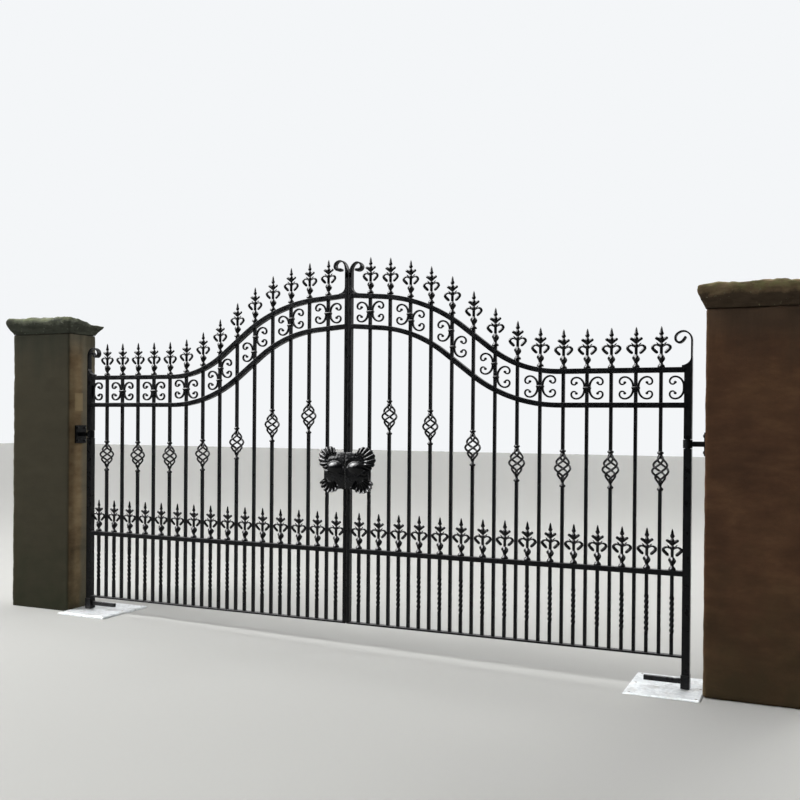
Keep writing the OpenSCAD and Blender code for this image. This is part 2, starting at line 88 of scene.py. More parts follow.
# Points along the neck at a distance under the upper rail's axis
def neckLine(drop):
    crown, main = swanNeck["crownSlope"], swanNeck["mainSlope"]
    inner, outer = swanNeck["crownRadius"] - drop, swanNeck["dipRadius"] + drop
    crownCount = round((main - crown) / swanNeck["facet"])
    dipCount = round(main / swanNeck["facet"])
    points = [(crownX + inner * math.sin(a), crownZ + inner * math.cos(a))
              for a in (crown + (main - crown) * i / crownCount for i in range(crownCount + 1))]
    points += [(dipX - outer * math.sin(a), dipZ - outer * math.cos(a))
               for a in (main * (1 - i / dipCount) for i in range(dipCount + 1))]
    start = (railStart, points[0][1] + (points[0][0] - railStart) * math.tan(crown))
    return [start] + points + [(railEnd, gate["shoulderZ"] - drop)]


def neckHeight(x, drop):
    line = neckLine(drop)
    for (x0, z0), (x1, z1) in zip(line, line[1:]):
        if x <= x1:
            return z0 + (z1 - z0) * (x - x0) / (x1 - x0)
    return line[-1][1]


# Camera, at the photograph's viewing angle
photo = {
    "size": 800, "focal": 963.77, "position": (4.41494, -4.62318, 1.23640),
    "yaw": 0.41795, "pitch": 0.00684, "roll": 0.00788, "shift": 0.0343, "sensor": 36, "farthest": 200,
}
camera = bpy.data.objects.new("photoCamera", bpy.data.cameras.new("photoCamera"))
scene.collection.objects.link(camera)
camera.data.sensor_width = photo["sensor"]
camera.data.lens = photo["sensor"] * photo["focal"] / photo["size"]
camera.data.shift_y = photo["shift"]
camera.data.clip_end = photo["farthest"]
camera.matrix_world = (Matrix.Translation(photo["position"])
                       @ Matrix.Rotation(photo["yaw"], 4, "Z")
                       @ Matrix.Rotation(math.pi / 2 - photo["pitch"], 4, "X")
                       @ Matrix.Rotation(photo["roll"], 4, "Z"))
scene.camera = camera
print("stage: camera placed")


# Linear RGBA from an sRGB hex colour, or from a number that is a linear grey already
def paint(colour):
    if not isinstance(colour, str):
        return [colour] * 3 + [1.0]
    values = [int(colour[i:i + 2], 16) / 255 for i in (1, 3, 5)]
    return [v / 12.92 if v <= 0.04045 else ((v + 0.055) / 1.055) ** 2.4 for v in values] + [1.0]


# Adds a node with its settings and inputs, and hands back the output that is asked for, or the node.
# An input that is a socket is linked and a hex string is a colour; stops are a colour ramp's own.
def addNode(tree, kind, out=None, inputs=None, stops=(), **settings):
    made = tree.nodes.new(kind)
    for key, value in settings.items():
        setattr(made, key, value)
    for key, value in (inputs or {}).items():
        if isinstance(value, bpy.types.NodeSocket):
            tree.links.new(value, made.inputs[key])
        else:
            hexed = isinstance(value, str) and value.startswith("#")
            made.inputs[key].default_value = paint(value) if hexed else value
    for n, (position, colour) in enumerate(stops):
        elements = made.color_ramp.elements
        element = elements[n] if n < len(elements) else elements.new(1.0)
        element.position = position
        element.color = paint(colour)
    return made if out is None else made.outputs[out]


# Materials


def startMaterial(name):
    material = bpy.data.materials.new(name)
    material.use_nodes = True
    tree = material.node_tree
    tree.nodes.clear()
    return material, tree, addNode(tree, "ShaderNodeTexCoord", "Object")


# Patches of a real size in millimetres, as a value or, where stops are given, as tones
def mottle(tree, where, sizeMm, detail=3.0, roughness=0.5, stretch=(1, 1, 1), stops=()):
    spot = addNode(tree, "ShaderNodeMapping", "Vector", {"Vector": where, "Scale": stretch})
    patches = addNode(tree, "ShaderNodeTexNoise", "Fac", {
        "Vector": spot, "Scale": 1 / (sizeMm * mm), "Detail": detail, "Roughness": roughness})
    return addNode(tree, "ShaderNodeValToRGB", "Color", {"Fac": patches}, stops) if stops else patches


# Rises from 0 at start to most at end along a coordinate; patches move the border by up to waver metres
def fade(tree, along, start, end, most=1.0, patches=None, waver=0.0):
    if patches is not None:
        along = addNode(tree, "ShaderNodeMath", "Value", {0: patches, 1: waver, 2: along},
                        operation="MULTIPLY_ADD")
    return addNode(tree, "ShaderNodeMapRange", "Result", {
        "Value": along, "From Min": start, "From Max": end, "To Max": most})


# Joins a material up: coats of (amount, colour) over its base, relief of (height, depth in millimetres,
# strength) from coarse to fine, and the shader's other inputs
def finishMaterial(tree, base, coats, relief, inputs):
    for amount, colour, *how in coats:
        base = addNode(tree, "ShaderNodeMix", 2, {"Factor": amount, 6: base, 7: colour},
                       data_type="RGBA", blend_type=how[0] if how else "MIX")
    joined = {"Base Color": base, **inputs}
    for height, deepMm, strength in relief:
        under = {"Normal": joined["Normal"]} if "Normal" in joined else {}
        joined["Normal"] = addNode(tree, "ShaderNodeBump", "Normal", {
            "Height": height, "Distance": deepMm * mm, "Strength": strength, **under})
    shader = addNode(tree, "ShaderNodeBsdfPrincipled", "BSDF", joined)
    addNode(tree, "ShaderNodeOutputMaterial", inputs={"Surface": shader})


# Brushed gloss enamel on forged bar: near-black with soft broken highlights, because hammer and brush
# leave shallow waves, and a little road dust dulls it near the ground: dusty is the height where it
# starts, where it is full and how much it covers. The brush marks, finer than the render can show, are
# drawn 1.6 mm wide.
def forgedEnamel(name, look, dusty=(0.24, 0.04, 0.05)):
    material, tree, where = startMaterial(name)
    tone = mottle(tree, where, 140, 4, 0.6, stops=zip((0.3, 0.5, 0.72), look["tones"]))
    height = addNode(tree, "ShaderNodeSeparateXYZ", "Z", {"Vector": where})
    specks = mottle(tree, where, 9, 5, 0.65, stops=((0.42, 0.0), (0.66, 1.0)))
    dust = addNode(tree, "ShaderNodeMath", "Value", {0: fade(tree, height, *dusty), 1: specks},
                   operation="MULTIPLY")
    gloss = addNode(tree, "ShaderNodeMapRange", "Result", {
        "Value": mottle(tree, where, 30), "From Min": 0.3, "From Max": 0.7,
        "To Min": look["roughness"] - 0.06, "To Max": look["roughness"] + 0.1})
    finishMaterial(tree, tone, [(dust, "#6f675c")],
                   [(mottle(tree, where, look["waveMm"], 2), look["waveDeepMm"], 0.6),
                    (mottle(tree, where, 1.6, 2), 0.05, 0.4)],
                   {"Roughness": gloss, "IOR": 1.52, "Specular IOR Level": look["sheen"]})
    return material


# Dressed sandstone, sawn and rubbed: warm brown with level beds 60 mm thick, and a fine open grain,
# under 1 mm in the real stone and drawn at 2.5 mm so that it shows. The side facing the street is a
# green-grey damp film and painted shade; the inner half of the reveal and the stone under the cap stay
# paler.
# A border is where its coat starts and where it is full, in metres (facing goes by how far the stone
# turns to the street), and how much it covers there; the pale patch has a middle and a half width.
pierBorders = {"damp": (0.15, -0.45, 0.75), "drips": (1.95, 2.35, 0.8), "inner": (0.0, 0.03, 0.6),
               "underCap": (1.6, 1.72, 0.6), "facing": (-0.35, -0.9),
               "patch": {"Y": (-0.03, 0.034), "Z": (1.336, 0.054)}}


def dressedSandstone(name, look):
    material, tree, where = startMaterial(name)
    clouds = mottle(tree, where, 260, 4, 0.55, stops=zip((0.3, 0.52, 0.75), look["tones"]))
    beds = mottle(tree, where, 60, 5, 0.6, (0.4, 0.4, 1.0), zip((0.34, 0.5, 0.68), look["tones"]))
    spot = addNode(tree, "ShaderNodeSeparateXYZ", inputs={"Vector": where}).outputs
    facing = addNode(tree, "ShaderNodeSeparateXYZ", "Y", {
        "Vector": addNode(tree, "ShaderNodeNewGeometry", "Normal")})
    # painted shade: the side that faces the street is darkened as if in shade, over its green-grey damp film
    film = fade(tree, facing, *pierBorders["facing"], look["film"])
    damp = fade(tree, spot["Z"], *pierBorders["damp"], mottle(tree, where, 180, 4, 0.6), -0.9)
    runs = mottle(tree, where, 90, 4, 0.6, (1, 1, 0.12))
    drips = fade(tree, spot["Z"], *pierBorders["drips"], runs, 0.9)
    inner = fade(tree, spot["Y"], *pierBorders["inner"], mottle(tree, where, 70, 3, 0.6, (1, 1, 0.3)), 0.04)
    underCap = fade(tree, spot["Z"], *pierBorders["underCap"])
    paler = addNode(tree, "ShaderNodeMath", "Value", {0: inner, 1: underCap}, operation="MAXIMUM")
    inPatch = look["patch"]
    for axis, (middle, half) in pierBorders["patch"].items():
        near = addNode(tree, "ShaderNodeMath", "Value", {0: spot[axis], 1: middle, 2: half},
                       operation="COMPARE")
        inPatch = addNode(tree, "ShaderNodeMath", "Value", {0: inPatch, 1: near}, operation="MULTIPLY")
    grain = mottle(tree, where, 2.5, 4, 0.7)
    speckled = addNode(tree, "ShaderNodeValToRGB", "Color", {"Fac": grain}, ((0.3, 0.35), (0.7, 1.0)))
    finishMaterial(tree, clouds, [(0.5, beds), (paler, look["inner"]), (inPatch, "#9c8a68"),
                                  (film, look["streetFilmAndShadeColour"]), (drips, look["stain"]), (damp, look["moss"]),
                                  (0.35, speckled, "MULTIPLY")],
                   [(mottle(tree, where, 14, 5, 0.65), 1.2, 0.7), (grain, 0.5, 0.7)],
                   {"Roughness": 0.9, "Specular IOR Level": 0.12})
    return material


# Weathered capstone: the same stone gone dark and ledged, with lichen in spots and moss where rain stands;
# under its lip it is darker still, as painted shade. Its grit is drawn at 3 mm, coarser than real, so that
# it shows. The borders are as on the piers, but facing goes by how far the stone turns up.
capBorders = {"under": (1.852, 1.836, 0.85), "lip": (1.84, 1.875, 0.9), "facing": (0.25, 0.8)}


def weatheredCapstone(name, look):
    material, tree, where = startMaterial(name)
    body = mottle(tree, where, 120, 5, 0.65, stops=zip((0.3, 0.5, 0.72), look["tones"]))
    height = addNode(tree, "ShaderNodeSeparateXYZ", "Z", {"Vector": where})
    facing = addNode(tree, "ShaderNodeSeparateXYZ", "Z", {
        "Vector": addNode(tree, "ShaderNodeNewGeometry", "Normal")})
    patches = mottle(tree, where, 60, 4, 0.6)
    # painted shade: under darkens the cove below the lip, as if in the lip's shadow
    under = fade(tree, height, *capBorders["under"], patches, 0.06)
    lip = fade(tree, height, *capBorders["lip"], patches, 0.06)
    wet = addNode(tree, "ShaderNodeMath", "Value", {0: lip, 1: fade(tree, facing, *capBorders["facing"])},
                  operation="MAXIMUM")
    tufts = mottle(tree, where, 45, 5, 0.7, stops=((0.42, 0.0), (0.6, 0.85)))
    mossy = addNode(tree, "ShaderNodeMath", "Value", {0: wet, 1: tufts}, operation="MULTIPLY")
    lichen = mottle(tree, where, 18, 4, 0.6, stops=((0.64, 0.0), (0.7, 0.7)))
    ledges = mottle(tree, where, 30, 4, 0.65, (0.3, 0.3, 1.5), ((0.36, 0.45), (0.56, 1.0)))
    finishMaterial(tree, body, [(under, look["under"]), (mossy, look["moss"]), (lichen, look["lichen"]),
                                (0.55, ledges, "MULTIPLY")],
                   [(mottle(tree, where, 26, 6, 0.7, (0.5, 0.5, 1.5)), 6, 1.0),
                    (mottle(tree, where, 3, 4, 0.7), 0.6, 0.7)],
                   {"Roughness": 0.95, "Specular IOR Level": 0.12})
    return material


# Hot-dip galvanised sheet steel: pale, with spangle 16 mm across and dirt washed over it
def galvanisedSheet(name):
    material, tree, where = startMaterial(name)
    spangle = addNode(tree, "ShaderNodeTexVoronoi", inputs={"Vector": where, "Scale": 1 / (16 * mm)}).outputs
    tint = addNode(tree, "ShaderNodeValToRGB", "Color", {"Fac": spangle["Color"]},
                   ((0.0, "#c3c8cb"), (1.0, "#e6e9ea")))
    gloss = addNode(tree, "ShaderNodeValToRGB", "Color", {"Fac": spangle["Distance"]},
                    ((0.0, 0.38), (1.0, 0.6)))
    dirt = mottle(tree, where, 70, 6, 0.7, stops=((0.5, 0.0), (0.72, 0.55)))
    finishMaterial(tree, tint, [(dirt, "#8d867b")], [(mottle(tree, where, 60), 0.8, 0.5)],
                   {"Metallic": 0.35, "Roughness": gloss})
    return material


# Turned mild steel, greased: grey with rings from the lathe, drawn 1.5 mm apart so that they show
def turnedSteel(name):
    material, tree, where = startMaterial(name)
    rings = mottle(tree, where, 1.5, 2, 0.5, (0.1, 0.1, 1.0), ((0.3, "#6d6a66"), (0.7, "#a3a09b")))
    finishMaterial(tree, rings, [], [], {"Metallic": 1.0, "Roughness": 0.38})
    return material


enamel = forgedEnamel("brushedEnamelOnForgedBar", {
    "tones": ("#07080a", "#0a0b0d", "#0e0f11"), "roughness": 0.3, "sheen": 0.12,
    "waveMm": 26, "waveDeepMm": 0.35})
castEnamel = forgedEnamel("glossEnamelOnCasting", {
    "tones": ("#060708", "#090a0c", "#0d0f11"), "roughness": 0.2, "sheen": 0.19,
    "waveMm": 7, "waveDeepMm": 0.2})
# the street film colours are partly a damp film and partly painted shade on the street side
pierStone = {
    "left": dressedSandstone("rubbedSandstoneLeft", {
        "tones": ("#574733", "#7a674c", "#928163"), "film": 0.93, "streetFilmAndShadeColour": "#313026",
        "inner": "#62645a", "stain": "#2b2c22", "moss": "#25281a", "patch": 0.5}),
    "right": dressedSandstone("rubbedSandstoneRight", {
        "tones": ("#3e291b", "#5c3f2b", "#7a5a3e"), "film": 0.4, "streetFilmAndShadeColour": "#46362a",
        "inner": "#6a5a4a", "stain": "#3c3025", "moss": "#3a3423", "patch": 0.0}),
}
# each cap's under colour is painted shade below its lip
capStone = {
    "left": weatheredCapstone("weatheredCapstoneLeft", {
        "tones": ("#33342b", "#5a5d53", "#828576"), "under": "#41433a", "moss": "#757a5c",
        "lichen": "#8f9383"}),
    "right": weatheredCapstone("weatheredCapstoneRight", {
        "tones": ("#4a3d2e", "#75634d", "#937d62"), "under": "#3c3228", "moss": "#6e6d48",
        "lichen": "#7c7a62"}),
}
forged = ("black_painted_iron", enamel)
cast = ("black_painted_casting", castEnamel)
sheet = ("galvanised_steel", galvanisedSheet("galvanisedSheetSteel"))
bright = ("bright_steel", turnedSteel("greasedTurnedSteel"))
print("stage: materials made")


# Makes a piece and names it for its CAD node: left_dog_bars gives leftDogBars. inCad says whether that
# node exists to be replaced, and even weights the normals of a piece with flat faces and eased arrises.
def newPiece(side, node, mesh, slotName, material, body="leaf", inCad=True, even=False):
    piece = bpy.data.objects.new(side + "".join(word.title() for word in node.split("_")), mesh)
    scene.collection.objects.link(piece)
    if not mesh.materials:
        mesh.materials.append(material)
    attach(piece, side + "_leaf" if body == "leaf" else body)
    if inCad:
        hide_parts(side + "_" + node)
    if even:
        weighted = piece.modifiers.new("evenShading", "WEIGHTED_NORMAL")
        weighted.keep_sharp = True
        weighted.weight = 80


# Mesh helpers: how near points merge, and which edges are flat or sharp
meshing = {"merge": 0.02 * mm, "mergeCad": 0.01 * mm, "flat": math.radians(1.5), "sharp": math.radians(32)}


def meshOf(bm):
    bmesh.ops.remove_doubles(bm, verts=bm.verts, dist=meshing["merge"])
    bmesh.ops.recalc_face_normals(bm, faces=bm.faces)
    mesh = bpy.data.meshes.new("made")
    bm.to_mesh(mesh)
    bm.free()
    mesh.shade_smooth()
    return mesh


# Skins a row of rings; a ring of one point closes as a pole
def skin(bm, rings, capped=True):
    made = [[bm.verts.new(p) for p in ring] for ring in rings]
    for a, b in zip(made, made[1:]):
        count = max(len(a), len(b))
        for i in range(count):
            j = (i + 1) % count
            corners = [a[i % len(a)], a[j % len(a)], b[j % len(b)], b[i % len(b)]]
            bm.faces.new([v for n, v in enumerate(corners) if v not in corners[:n]])
    for end in (made[0], made[-1]):
        if capped and len(end) > 2:
            bm.faces.new(end)


def skinned(*rows):
    bm = bmesh.new()
    for rings in rows:
        skin(bm, rings)
    return meshOf(bm)


def circle(count):
    return [2 * math.pi * i / count for i in range(count)]


# Rings of a turned shape from its profile of (radius, z)
def turned(profile, count=16):
    return [[Vector((r * math.cos(a), r * math.sin(a), z)) * mm for a in circle(count if r > 0 else 1)]
            for r, z in profile]


# Points round a rectangle whose corners are rounded
def roundedLoop(halfWide, halfDeep, radius, steps):
    wide, deep = halfWide - radius, halfDeep - radius
    return [(su * wide + radius * math.cos(a), sv * deep + radius * math.sin(a))
            for turn, (su, sv) in enumerate(((1, 1), (-1, 1), (-1, -1), (1, -1)))
            for a in (math.pi / 2 * (turn + n / steps) for n in range(steps + 1))]


def direction(points, i):
    before, after = points[max(i - 1, 0)], points[min(i + 1, len(points) - 1)]
    return Vector((after[0] - before[0], after[1] - before[1])).normalized()


# A bent leaf of metal in the gate's plane: points are x, z, half width, half thickness
def bentLeaf(points, count=8):
    rings = []
    for i, (x, z, wide, thick) in enumerate(points):
        run = direction(points, i)
        rings.append([Vector((x - run.y * wide * math.cos(a), thick * math.sin(a),
                              z + run.x * wide * math.cos(a))) * mm for a in circle(count if wide else 1)])
    return rings


# Geometry Nodes: a tree starts with named inputs, and ends with its instances made real, because
# the export drops them, and with its finish
def startTree(name, sockets):
    tree = bpy.data.node_groups.new(name, "GeometryNodeTree")
    for label, kind in sockets.items():
        tree.interface.new_socket(label, in_out="INPUT", socket_type="NodeSocket" + kind)
    tree.interface.new_socket("Made", in_out="OUTPUT", socket_type="NodeSocketGeometry")
    return tree, addNode(tree, "NodeGroupInput").outputs


def endTree(tree, geometry, finish):
    real = addNode(tree, "GeometryNodeRealizeInstances", "Geometry", {"Geometry": geometry})
    made = addNode(tree, "GeometryNodeSetMaterial", "Geometry", {"Geometry": real, "Material": finish})
    addNode(tree, "NodeGroupOutput", inputs={"Made": made})
    return tree


# Bar stock rolled along paths, for rails, bars and scrolls; edges sharper than a crease stay sharp
def stockTree(crease=math.radians(50)):
    tree, given = startTree("rolledStock", {
        "Paths": "Geometry", "Across Plane": "Float", "In Plane": "Float", "Arris": "Float",
        "Arris Steps": "Int", "Finish": "Material"})
    curve = addNode(tree, "GeometryNodeMeshToCurve", "Curve", {"Mesh": given["Paths"]})
    upright = addNode(tree, "GeometryNodeSetCurveNormal", "Curve", {"Curve": curve, "Normal": (0, 1, 0)},
                      mode="FREE")
    twist, taper = [addNode(tree, "GeometryNodeInputNamedAttribute", "Attribute", {"Name": name},
                            data_type="FLOAT") for name in ("twist", "taper")]
    tilted = addNode(tree, "GeometryNodeSetCurveTilt", "Curve", {"Curve": upright, "Tilt": twist})
    section = addNode(tree, "GeometryNodeCurvePrimitiveQuadrilateral", "Curve", {
        "Width": given["Across Plane"], "Height": given["In Plane"]})
    eased = addNode(tree, "GeometryNodeFilletCurve", "Curve", {
        "Curve": section, "Radius": given["Arris"], "Count": given["Arris Steps"]}, mode="POLY")
    bar = addNode(tree, "GeometryNodeCurveToMesh", "Mesh", {
        "Curve": tilted, "Profile Curve": eased, "Scale": taper, "Fill Caps": True})
    smooth = addNode(tree, "GeometryNodeSetShadeSmooth", "Geometry", {"Geometry": bar}, domain="FACE")
    angle = addNode(tree, "GeometryNodeInputMeshEdgeAngle", "Unsigned Angle")
    sharp = addNode(tree, "FunctionNodeCompare", "Result", {0: angle, 1: crease}, operation="GREATER_THAN")
    creased = addNode(tree, "GeometryNodeSetShadeSmooth", "Geometry", {
        "Geometry": smooth, "Selection": sharp, "Shade Smooth": False}, domain="EDGE")
    return endTree(tree, creased, given["Finish"])


# One casting, forging or bolt set out at each of a row of spots, all turned the same way
def setOutTree():
    tree, given = startTree("setOutAlongGate", {
        "Spots": "Geometry", "Pattern": "Object", "Turn": "Vector", "Finish": "Material"})
    pattern = addNode(tree, "GeometryNodeObjectInfo", "Geometry", {"Object": given["Pattern"]})
    rotation = addNode(tree, "FunctionNodeEulerToRotation", "Rotation", {"Euler": given["Turn"]})
    row = addNode(tree, "GeometryNodeInstanceOnPoints", "Instances", {
        "Points": given["Spots"], "Instance": pattern, "Rotation": rotation})
    return endTree(tree, row, given["Finish"])


rolledStock = stockTree()
setOutAlongGate = setOutTree()


# Runs a tree on a seed mesh and hands back the result as a plain mesh
def grow(tree, seed, values):
    holder = bpy.data.objects.new("growing", seed)
    scene.collection.objects.link(holder)
    modifier = holder.modifiers.new("grow", "NODES")
    modifier.node_group = tree
    for item in tree.interface.items_tree:
        if item.name in values:
            modifier[item.identifier] = values[item.name]
    bpy.context.view_layer.update()
    depsgraph = bpy.context.evaluated_depsgraph_get()
    mesh = bpy.data.meshes.new_from_object(holder.evaluated_get(depsgraph), depsgraph=depsgraph)
    holder.modifiers.remove(modifier)
    bpy.data.objects.remove(holder)
    return mesh


# Paths in the gate's plane are lists of (x, z), (x, z, twist) or (x, z, twist, taper) in leaf millimetres
def rollStock(side, paths, acrossPlane, inPlane, arris, arrisSteps=3):
    rows = [(*point, *(0.0, 1.0)[len(point) - 2:]) for path in paths for point in path]
    edges, first = [], 0
    for path in paths:
        edges += [(i, i + 1) for i in range(first, first + len(path) - 1)]
        first += len(path)
    seed = bpy.data.meshes.new("paths")
    seed.from_pydata([place(side, x, 0, z) for x, z, _, _ in rows], edges, [])
    for name, column, sign in (("twist", 2, sides[side]), ("taper", 3, 1)):
        values = [row[column] * sign for row in rows]
        seed.attributes.new(name, "FLOAT", "POINT").data.foreach_set("value", values)
    return grow(rolledStock, seed, {
        "Across Plane": acrossPlane * mm, "In Plane": inPlane * mm, "Arris": arris * mm,
        "Arris Steps": arrisSteps, "Finish": enamel})


def setOut(spots, patternMesh, material, turn=(0.0, 0.0, 0.0)):
    pattern = bpy.data.objects.new("pattern", patternMesh)
    scene.collection.objects.link(pattern)
    seed = bpy.data.meshes.new("spots")
    seed.from_pydata(spots, [], [])
    row = grow(setOutAlongGate, seed, {"Pattern": pattern, "Turn": turn, "Finish": material})
    bpy.data.objects.remove(pattern)
    return row


# Merges a mesh's flat facets and bevels its sharp edges
def easedMesh(bm, ease):
    bmesh.ops.remove_doubles(bm, verts=bm.verts, dist=meshing["mergeCad"])
    bmesh.ops.dissolve_limit(bm, angle_limit=meshing["flat"], verts=bm.verts, edges=bm.edges)
    sharp = [e for e in bm.edges if len(e.link_faces) == 2 and e.calc_face_angle() > meshing["sharp"]]
    bmesh.ops.bevel(bm, geom=sharp, offset=ease * mm, segments=2, profile=0.5,
                    affect="EDGES", clamp_overlap=True)
    mesh = bpy.data.meshes.new("eased")
    bm.to_mesh(mesh)
    bm.free()
    mesh.shade_smooth()
    return mesh


# A CAD node's own solid with its arrises eased; move shifts its corners first, in leaf millimetres
def softened(side, node, ease, move):
    bm = bmesh.new()
    bm.from_mesh(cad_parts[side + "_" + node].data)
    for vert in bm.verts if move else ():
        x, y, z = vert.co / mm
        vert.co = place(side, *move(side, sides[side] * (x - gate["centreX"]), y - gate["planeY"], z))
    return easedMesh(bm, ease)


# A plate between two outlines, with its arrises eased
def cutPlate(outlines, ease):
    bm = bmesh.new()
    skin(bm, outlines)
    bmesh.ops.recalc_face_normals(bm, faces=bm.faces)
    return easedMesh(bm, ease)


# A smooth path through rows of numbers
def through(rows, steps=5):
    path = []
    for i in range(len(rows) - 1):
        p = [rows[max(i - 1, 0)], rows[i], rows[i + 1], rows[min(i + 2, len(rows) - 1)]]
        for n in range(steps):
            t = n / steps
            path.append([0.5 * (2 * b + (c - a) * t + (2 * a - 5 * b + 4 * c - d) * t * t
                                + (3 * b - a - 3 * c + d) * t ** 3) for a, b, c, d in zip(*p)])
    return path + [list(rows[-1])]


# A flat bar bent along rows of x, z and thickness. snub rounds off its last end: how far ahead of it,
# in thicknesses, and what share of the thickness is left there
def bentBar(side, rows, depth, arris, snub=((0, 1), (0.2, 0.97), (0.38, 0.86), (0.5, 0.66), (0.55, 0.4))):
    path = through(rows)
    rings = []
    for i, (x, z, thick) in enumerate(path):
        run = direction(path, i)
        for ahead, full in snub if i == len(path) - 1 else snub[:1]:
            on = run * ahead * thick
            rings.append([place(side, x + on.x - run.y * full * u, v, z + on.y + run.x * full * u)
                          for u, v in roundedLoop(thick / 2, depth / 2, arris, 3)])
    return skinned(rings)


# Rails
rails = {"arris": 2.0}
for side in sides:
    for node, line, tall in (
            ("upper_top_rail", neckLine(0), "railHeight"),
            ("lower_top_rail", neckLine(gate["band"]), "railHeight"),
            ("middle_rail", [(x, gate["middleZ"]) for x in (railStart, railEnd)], "railHeight"),
            ("bottom_rail", [(x, gate["bottomZ"]) for x in (railStart, railEnd)], "bottomRailHeight")):
        mesh = rollStock(side, [line], gate["depth"], gate[tall], rails["arris"])
        newPiece(side, node, mesh, *forged, even=True)
print("stage: rails rolled")

# Full-height bars, cut for the baskets in every other one, and the short twisted dog bars. footRise
# lifts a bar's finial clear of a rail that slopes.
bars = {"arris": 1.2, "basketShare": 0.605, "basketHeight": 120, "knuckle": 24,
        "quarterTurns": 7, "stepsPerQuarter": 6, "twistShare": 0.48, "footRise": 1}


def basketZ(x):
    return gate["middleZ"] + bars["basketShare"] * (neckHeight(x, gate["band"]) - gate["middleZ"])


def picketTop(x):
    reach = gate["depth"] / 2
    railTop = -gate["railHeight"] / 2
    top = max(neckHeight(x - reach, railTop), neckHeight(x + reach, railTop))
    return top + (bars["footRise"] if x - reach < dipX else 0)


basketEnd = bars["basketHeight"] / 2 + bars["knuckle"]
for side in sides:
    paths = []
    for k, x in enumerate(picketX):
        stops = [bottomTop, picketTop(x)]
        if k % 2 == 0:
            stops[1:1] = [basketZ(x) - basketEnd, basketZ(x) + basketEnd]
        paths += [[(x, low), (x, high)] for low, high in zip(stops[::2], stops[1::2])]
    mesh = rollStock(side, paths, gate["bar"], gate["bar"], bars["arris"])
    newPiece(side, "pickets", mesh, *forged, even=True)
    clear = gate["middleZ"] - gate["railHeight"] / 2 - bottomTop
    twisted = clear * bars["twistShare"]
    start = bottomTop + (clear - twisted) / 2
    count = bars["quarterTurns"] * bars["stepsPerQuarter"]
    turn = bars["quarterTurns"] * math.pi / 2
    paths = []
    for x in dogX:
        body = [(x, start + twisted * i / count, turn * i / count) for i in range(count + 1)]
        paths.append([(x, bottomTop)] + body + [(x, middleTop, turn)])
    mesh = rollStock(side, paths, gate["bar"], gate["bar"], bars["arris"], 2)
    newPiece(side, "dog_bars", mesh, *forged)
print("stage: bars set")

# Basket twists: four round rods opened out between two forged knuckles, whose profile is (radius, z)
basket = {
    "rod": 11, "across": 75, "neck": 4.2, "turn": math.radians(330), "rings": 34, "bury": 10,
    "belly": 1.3, "high": 6,
    "knuckle": [(0, -4), (5.4, -2), (6.6, 6), (7.4, 13), (9.6, 17), (13.4, 20), (15.4, 23),
                (15.4, 26.5), (13.6, 29.5), (10.4, 32), (8.6, 34), (0, 34)],
}


def rodPath(start):
    path = []
    tall = bars["basketHeight"] + 2 * basket["bury"]
    opening = basket["across"] / 2 - basket["neck"]
    for i in range(basket["rings"] + 1):
        u = i / basket["rings"]
        r = basket["neck"] + opening * math.sin(math.pi * u) ** basket["belly"]
        a = start + basket["turn"] * u
        path.append(Vector((r * math.cos(a), r * math.sin(a), (u - 0.5) * tall + basket["high"])))
    return path


def rodRings(path):
    rings = []
    half = basket["rod"] / 2
    for i, p in enumerate(path):
        run = (path[min(i + 1, len(path) - 1)] - path[max(i - 1, 0)]).normalized()
        out = run.cross(Vector((p.x, p.y, 0))).normalized()
        up = run.cross(out)
        rings.append([(p + half * (out * math.cos(a) + up * math.sin(a))) * mm for a in circle(8)])
    return rings


def basketMesh():
    rods = [rodRings(rodPath(math.pi / 4 + q * math.pi / 2)) for q in range(4)]
    knuckles = [turned([(r, end * (bars["basketHeight"] / 2 + z)) for r, z in basket["knuckle"]])
                for end in (-1, 1)]
    return skinned(*rods, *knuckles)


for side in sides:
    mesh = setOut([place(side, x, 0, basketZ(x)) for x in picketX[::2]], basketMesh(), castEnamel)
    newPiece(side, "baskets", mesh, "black_painted_iron", castEnamel)
print("stage: baskets forged")

